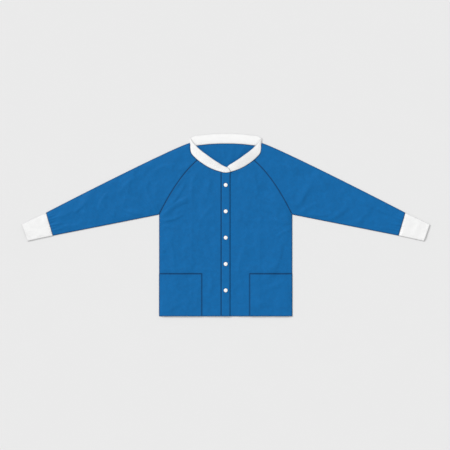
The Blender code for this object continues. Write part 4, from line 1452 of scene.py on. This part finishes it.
# ---------------- snaps
def snap_profile(radius, low, high):
    """Radius and height of each ring of a snap cap, from the middle of its dome to the top of its bore.

    The dome's height falls with the square of the radius, with a dimple and a groove that are bells, and
    a half ellipse closes its edge. A post leads down to the socket, which is bored from below."""
    flat_radius = radius - SNAP_EDGE
    r = np.concatenate([np.linspace(0.04, 0.98, 16), np.linspace(0.985, 1.0, 3)]) * flat_radius
    groove = SNAP_GROOVE * bell(r - SNAP_GROOVE_AT * radius, 0.5)
    dome = high - SNAP_DOME_FALL * (r / radius) ** 2 - groove - SNAP_DIMPLE * bell(r, 0.55)
    edge = np.linspace(math.pi / 2, -math.pi / 2, 9)[1:]
    edge_r = flat_radius + SNAP_EDGE * np.cos(edge)
    edge_z = dome[-1] - SNAP_EDGE_RISE + SNAP_EDGE_RISE * np.sin(edge)
    under = (
        (SNAP_POST_R, edge_z[-1]),
        (SNAP_POST_R, SNAP_SOCKET_TOP),
        (SNAP_SOCKET_R, SNAP_SOCKET_TOP),
        (SNAP_SOCKET_R, low),
        (SNAP_BORE_R, low),
        (SNAP_BORE_R, SNAP_SOCKET_ROOF),
    )
    return np.array([*zip(r, dome), *zip(edge_r, edge_z), *under])


def add_snap(number):
    """A moulded cap with its post and socket: a profile turned about its upright axis."""
    node_name = f"snap_cap_{number}"
    low, high = node_box(node_name)
    x, y = (low[:2] + high[:2]) / 2
    rim = snap_profile((high[0] - low[0]) / 2, low[2], high[2])
    turns = np.linspace(0.0, 2 * math.pi, SNAP_SIDES, endpoint=False)
    r, z = rim[:, :1], rim[:, 1:]
    points = in_space(x + r * np.cos(turns), y + r * np.sin(turns), z).reshape(-1, 3)
    quads, _ = grid_faces(len(rim), SNAP_SIDES, wrap_columns=True)
    j = np.arange(SNAP_SIDES)
    k = (j + 1) % SNAP_SIDES
    count, last = len(points), (len(rim) - 1) * SNAP_SIDES
    top = np.stack([np.full(SNAP_SIDES, count), k, j], 1)
    bottom = np.stack([np.full(SNAP_SIDES, count + 1), last + j, last + k], 1)
    points = np.vstack([points, [(x, y, rim[0, 1]), (x, y, rim[-1, 1])]])
    faces = [quads, top, bottom]
    mesh = put_mesh(f"{node_name}_moulded", points, faces, finish(SNAP_FINISH), sharp_angle=32.0)
    add_piece(mesh, SNAP_SLOT, node_name)


def finish_studs():
    """The studs stay as the frame has them, in the caps' plastic."""
    for name, stud in frame["nodes"].items():
        if name.startswith("snap_stud_"):
            stud.data.materials.clear()
            stud.data.materials.append(finish(SNAP_FINISH))


# ---------------- stitching
def stitch_points(path, pitch, length, turn=0.0):
    """Thread stitches set along a path at an even pitch, as (stitches, rings, sides, 3) points.

    Each is a short round bar with narrowed ends that dive into the cloth, lying along the path or turned
    from it by an angle whose size differs a little from one stitch to the next."""
    radius = setting("thread_width") / 2
    places = np.arange(pitch, along(path)[-1] - pitch / 2, pitch)
    ahead = unit(read_at(path, places + 0.3) - read_at(path, places - 0.3))
    aside = unit(np.cross((0.0, 0.0, 1.0), ahead))
    lean = turn * np.where(np.arange(len(places)) % 2, 1.0, 0.82)[:, None]
    forward = ahead * np.cos(lean) + aside * np.sin(lean)
    sideways = aside * np.cos(lean) - ahead * np.sin(lean)
    at, share = np.array(STITCH_RINGS).T
    rise = radius * (0.9 - 1.5 * at**4)
    round_turns = np.linspace(0.0, 2 * math.pi, STITCH_SIDES, endpoint=False)
    out = radius * share[:, None] * np.cos(round_turns)
    up = radius * share[:, None] * np.sin(round_turns) + rise[:, None]
    offsets = in_space((at * length / 2)[:, None], out, up)
    axes = np.stack([forward, sideways, np.cross(forward, sideways)], 1)
    return read_at(path, places)[:, None, None] + np.einsum("rsk,nkd->nrsd", offsets, axes)


def add_stitches(name, *rows):
    """One piece of all the stitches of some rows: the same few faces repeated for each stitch."""
    points = np.concatenate(rows)
    count, rings = points.shape[:2]
    quads, steps = grid_faces(rings, STITCH_SIDES, wrap_columns=True)
    starts = np.arange(count)[:, None, None] * rings * STITCH_SIDES
    groups = quads, end_faces(rings, STITCH_SIDES)
    faces = [(group + starts).reshape(-1, group.shape[1]) for group in groups]
    uv = np.stack([steps[..., 1] / STITCH_SIDES, steps[..., 0]], -1)
    corner_uv = [np.tile(uv, (count, 1, 1)), np.zeros((2 * count, STITCH_SIDES, 2))]
    add_piece(put_mesh(name, points, faces, finish(THREAD_FINISH), corner_uv=corner_uv), CLOTH_SLOT)


def lock_row(path):
    """A row of lockstitches along a path."""
    pitch = setting("stitch_pitch")
    return stitch_points(path, pitch, LOCKSTITCH_SHARE * pitch)


def on_upper(line, side):
    """A plan line on +X laid on the upper layer of one side."""
    x, y = line.T
    return in_space(x * side, y, front_surface(x * side, y, side))


def grid_path(grid, axis, place):
    """The line across a grid at one distance from the jacket's middle (axis 0) or at one y (axis 1)."""
    lines = np.moveaxis(grid, 1 - axis, 0)
    values = np.abs(lines[:, 0, 0]) if axis == 0 else lines[:, 0, 1]
    at = float(np.interp(place, values, np.arange(len(lines))))
    near = min(int(at), len(lines) - 2)
    return lines[near] + (at - near) * (lines[near + 1] - lines[near])


def add_placket_stitches():
    """A row of lockstitches beside each edge of the placket band."""
    rows = []
    for x in BAND_STITCH_ROWS:
        y = np.arange(HEM_Y + ROW_FROM_HEM, float(neckline_y(x)) - ROW_FROM_SEAM, 1.0)
        rows.append(lock_row(in_space(x, y, band_top(x, y))))
    add_stitches("placket_stitches", *rows)


def add_pocket_stitches(word, side):
    """Lockstitches beside a pocket's inner edge and below its turned top."""
    outer, _ = pocket_grid(side)
    beside = grid_path(outer, 0, POCKET_X + STITCH_INSET)
    below = grid_path(outer, 1, POCKET_TOP - STITCH_INSET)
    beside = beside[beside[:, 1] > HEM_Y + ROW_FROM_HEM]
    below = below[np.abs(below[:, 0]) < SIDE_X - ROW_FROM_SEAM]
    add_stitches(f"pocket_stitches_{word}", lock_row(beside), lock_row(below))


def add_seam_stitches(word, side):
    """The threads that show on one side: rungs across the raglan seam, and rows beside the neckline and
    the cuff seam."""
    raglan = on_upper(cubic(FRONT_RAGLAN, 160)[6:-6], side)
    rungs = stitch_points(raglan, OVERLOCK_PITCH, OVERLOCK_LENGTH, OVERLOCK_TURN)
    neck_from = BAND_HALF + (STITCH_INSET if side < 0 else 2.0)
    neck = NECKLINE[(NECKLINE[:, 0] > neck_from) & (NECKLINE[:, 0] < SHOULDER[0] - ROW_FROM_FOLD)]
    beside_neck = on_upper(moved_left(neck, -STITCH_INSET), side)
    seam = read_at(CUFF_SEAM, np.linspace(ROW_FROM_FOLD, along(CUFF_SEAM)[-1] - ROW_FROM_FOLD, 60))
    beside_cuff = on_upper(moved_left(seam, STITCH_INSET), side)
    add_stitches(f"seam_stitches_{word}", rungs, lock_row(beside_neck), lock_row(beside_cuff))


# ---------------- stage
def add_to_scene(name, data):
    """An object of the stage's, linked to the scene."""
    made = bpy.data.objects.new(name, data)
    bpy.context.scene.collection.objects.link(made)
    return made


def add_floor():
    """A square floor at the jacket's lowest level, so wide that its edges stay out of view."""
    corners = np.array([(-1, -1), (1, -1), (1, 1), (-1, 1)]) * FLOOR_HALF
    mesh = bpy.data.meshes.new("studio_floor")
    mesh.from_pydata([(x, y, 0.0) for x, y in corners], [], [(0, 1, 2, 3)])
    mesh.materials.append(finish(FLOOR_FINISH))
    add_to_scene("studio_floor", mesh)


def add_soft_light(name, comes_from, spans, strength):
    """A distant light that spans a wide angle, for soft shadows and an evenly lit floor."""
    light = bpy.data.lights.new(name, "SUN")
    light.angle = math.radians(spans)
    light.energy = strength
    made = add_to_scene(name, light)
    made.location = comes_from
    made.rotation_euler = Vector(comes_from).to_track_quat("Z", "Y").to_euler()


def add_camera():
    """A long lens straight above the jacket, at the height from which it fills its share of the view."""
    low, high = CAD_BOX
    camera = bpy.data.cameras.new("camera_above")
    camera.lens = CAMERA_LENS
    camera.sensor_width = CAMERA_SENSOR
    camera.clip_end = CAMERA_REACH
    made = add_to_scene("camera_above", camera)
    above = (high.x - low.x) / JACKET_SHARE * CAMERA_LENS / CAMERA_SENSOR
    made.location = (CAMERA_ASIDE * MM, (low.y + high.y) / 2 + CAMERA_UP * MM, low.z + above)
    bpy.context.scene.camera = made


def add_stage():
    """The floor, an even white world, the soft lights and the camera."""
    scene = bpy.context.scene
    scene.view_settings.view_transform = "Standard"
    world = bpy.data.worlds.new("soft_studio")
    world.use_nodes = True
    background = world.node_tree.nodes["Background"]
    background.inputs["Color"].default_value = (1.0, 1.0, 1.0, 1.0)
    background.inputs["Strength"].default_value = WORLD_STRENGTH
    scene.world = world
    add_floor()
    for light in SOFT_LIGHTS:
        add_soft_light(*light)
    add_camera()


# ---------------- the add-on's parts
def length_property(name, description, default):
    """A length in metres that the sidebar shows."""
    settings = {"min": 0.0, "precision": 5, "subtype": "DISTANCE", "unit": "LENGTH"}
    return bpy.props.FloatProperty(name=name, description=description, default=default, **settings)


def colour_property(name, description, default):
    """A colour that the sidebar shows."""
    settings = {"size": 3, "min": 0.0, "max": 1.0, "subtype": "COLOR"}
    return bpy.props.FloatVectorProperty(name=name, description=description, default=default, **settings)


class JacketSizes(bpy.types.PropertyGroup):
    """Sizes that a user would change."""

    cloth_wall: length_property("Cloth thickness", "Thickness of one ply of the nonwoven cloth", 0.0006)
    seam_depth: length_property("Seam depth", "How far the cloth sinks at a seam", 0.0011)
    crease_strength: bpy.props.FloatProperty(
        name="Crease strength",
        description="Height of all the creases together",
        default=2.1,
        min=0.0,
        subtype="FACTOR",
    )
    rib_pitch: length_property("Rib pitch", "From one rib of the knit to the next", 0.0036)
    rib_relief: length_property("Rib relief", "Half the height from a rib's valley to its crest", 0.00032)
    knit_course: length_property("Knit course", "Height of one row of knitted stitches", 0.0014)
    stitch_pitch: length_property("Stitch pitch", "From one stitch to the next", 0.0032)
    thread_width: length_property("Thread width", "Thickness of the sewing thread", 0.00048)


class JacketColours(bpy.types.PropertyGroup):
    """Colours that a user would change."""

    cloth: colour_property("Cloth", "Colour of the nonwoven cloth", (0.0022, 0.117, 0.336))
    cloth_light: colour_property("Cloth fibres", "Colour of the cloth's loose fibres", (0.022, 0.20, 0.48))
    # Also the painted shade and shadow where the piece's attribute is high, beside the bonded points' and
    # seams' own darker tone.
    cloth_deep: colour_property(
        "Cloth seams", "Colour of the cloth where it is bonded or doubled", (0.002, 0.030, 0.095)
    )
    rib: colour_property("Rib knit", "Colour of the collar and cuffs", (0.91, 0.91, 0.905))
    # Grey of the yarn fuzz, and the painted shade in the knit's valleys, loop hollows, folded edges,
    # lapped tip and seams.
    rib_fuzz_and_painted_shade: colour_property(
        "Rib knit valleys", "Colour of the rib knit between its ribs", (0.44, 0.44, 0.45)
    )
    snap: colour_property("Snaps", "Colour of the moulded snaps", (0.84, 0.84, 0.83))
    thread: colour_property("Thread", "Colour of the sewing thread", (0.006, 0.055, 0.16))
    # Painted shade in the grooves between the thread's plies.
    thread_ply_painted_shade: colour_property(
        "Thread shade", "Colour between the plies of the thread", (0.002, 0.022, 0.075)
    )
    floor: colour_property("Floor", "Colour of the floor", (0.715, 0.715, 0.715))


SIDES = (("left", 1), ("right", -1))


class StageOperator(bpy.types.Operator):
    """Make the floor, the soft lights and the camera above"""

    bl_idname = "jacket.make_stage"
    bl_label = "Stage"

    def execute(self, context):
        add_stage()
        return {"FINISHED"}


class BackOperator(bpy.types.Operator):
    """Make the back panel"""

    bl_idname = "jacket.make_back"
    bl_label = "Back"

    def execute(self, context):
        add_back()
        return {"FINISHED"}


class FrontsOperator(bpy.types.Operator):
    """Make both fronts"""

    bl_idname = "jacket.make_fronts"
    bl_label = "Fronts"

    def execute(self, context):
        for word, side in SIDES:
            add_front(word, side)
        return {"FINISHED"}


class PlacketOperator(bpy.types.Operator):
    """Make the placket band with its rows of stitching"""

    bl_idname = "jacket.make_placket"
    bl_label = "Placket"

    def execute(self, context):
        add_placket()
        add_placket_stitches()
        return {"FINISHED"}


class PocketsOperator(bpy.types.Operator):
    """Make both patch pockets with their stitching"""

    bl_idname = "jacket.make_pockets"
    bl_label = "Pockets"

    def execute(self, context):
        for add in (add_pocket, add_pocket_stitches):
            for word, side in SIDES:
                add(word, side)
        return {"FINISHED"}


class SleevesOperator(bpy.types.Operator):
    """Make both sleeves"""

    bl_idname = "jacket.make_sleeves"
    bl_label = "Sleeves"

    def execute(self, context):
        for word, side in SIDES:
            add_sleeve(word, side)
        return {"FINISHED"}


class CuffsOperator(bpy.types.Operator):
    """Make both rib cuffs"""

    bl_idname = "jacket.make_cuffs"
    bl_label = "Cuffs"

    def execute(self, context):
        for word, side in SIDES:
            add_cuff(word, side)
        return {"FINISHED"}


class CollarOperator(bpy.types.Operator):
    """Make the rib collar"""

    bl_idname = "jacket.make_collar"
    bl_label = "Collar"

    def execute(self, context):
        add_collar()
        return {"FINISHED"}


class SnapsOperator(bpy.types.Operator):
    """Make the snap caps, and finish the studs"""

    bl_idname = "jacket.make_snaps"
    bl_label = "Snaps"

    def execute(self, context):
        for number in range(1, len(snap_ys()) + 1):
            add_snap(number)
        finish_studs()
        return {"FINISHED"}


class SeamStitchesOperator(bpy.types.Operator):
    """Make the threads along the raglan seams, the neckline and the cuff seams"""

    bl_idname = "jacket.make_seam_stitches"
    bl_label = "Seam stitches"

    def execute(self, context):
        for word, side in SIDES:
            add_seam_stitches(word, side)
        return {"FINISHED"}


PIECE_OPERATORS = (
    StageOperator,
    BackOperator,
    FrontsOperator,
    PlacketOperator,
    PocketsOperator,
    SleevesOperator,
    CuffsOperator,
    CollarOperator,
    SnapsOperator,
    SeamStitchesOperator,
)


class JacketPanel(bpy.types.Panel):
    """The sizes, colours and pieces of the jacket"""

    bl_idname = "VIEW3D_PT_jacket"
    bl_label = "Warm-up jacket"
    bl_space_type = "VIEW_3D"
    bl_region_type = "UI"
    bl_category = "Jacket"

    def draw(self, context):
        """List the sizes and the colours in a box each, then a button for each operator."""
        for group in (context.scene.jacket_sizes, context.scene.jacket_colours):
            box = self.layout.box()
            for key in group.__annotations__:
                box.prop(group, key)
        for operator in PIECE_OPERATORS:
            self.layout.operator(operator.bl_idname)


CLASSES = (JacketSizes, JacketColours, *PIECE_OPERATORS, JacketPanel)


def register():
    """Register every class, and keep the sizes and colours on the scene."""
    for made in CLASSES:
        bpy.utils.register_class(made)
    bpy.types.Scene.jacket_sizes = bpy.props.PointerProperty(type=JacketSizes)
    bpy.types.Scene.jacket_colours = bpy.props.PointerProperty(type=JacketColours)


def unregister():
    """Take away what register added, in reverse."""
    del bpy.types.Scene.jacket_colours
    del bpy.types.Scene.jacket_sizes
    for made in reversed(CLASSES):
        bpy.utils.unregister_class(made)


def main():
    """Makes every piece in order."""
    register()
    bpy.ops.jacket.make_stage()
    bpy.ops.jacket.make_back()
    bpy.ops.jacket.make_fronts()
    bpy.ops.jacket.make_placket()
    bpy.ops.jacket.make_pockets()
    bpy.ops.jacket.make_sleeves()
    bpy.ops.jacket.make_cuffs()
    bpy.ops.jacket.make_collar()
    bpy.ops.jacket.make_snaps()
    bpy.ops.jacket.make_seam_stitches()


if __name__ == "__main__":
    main()
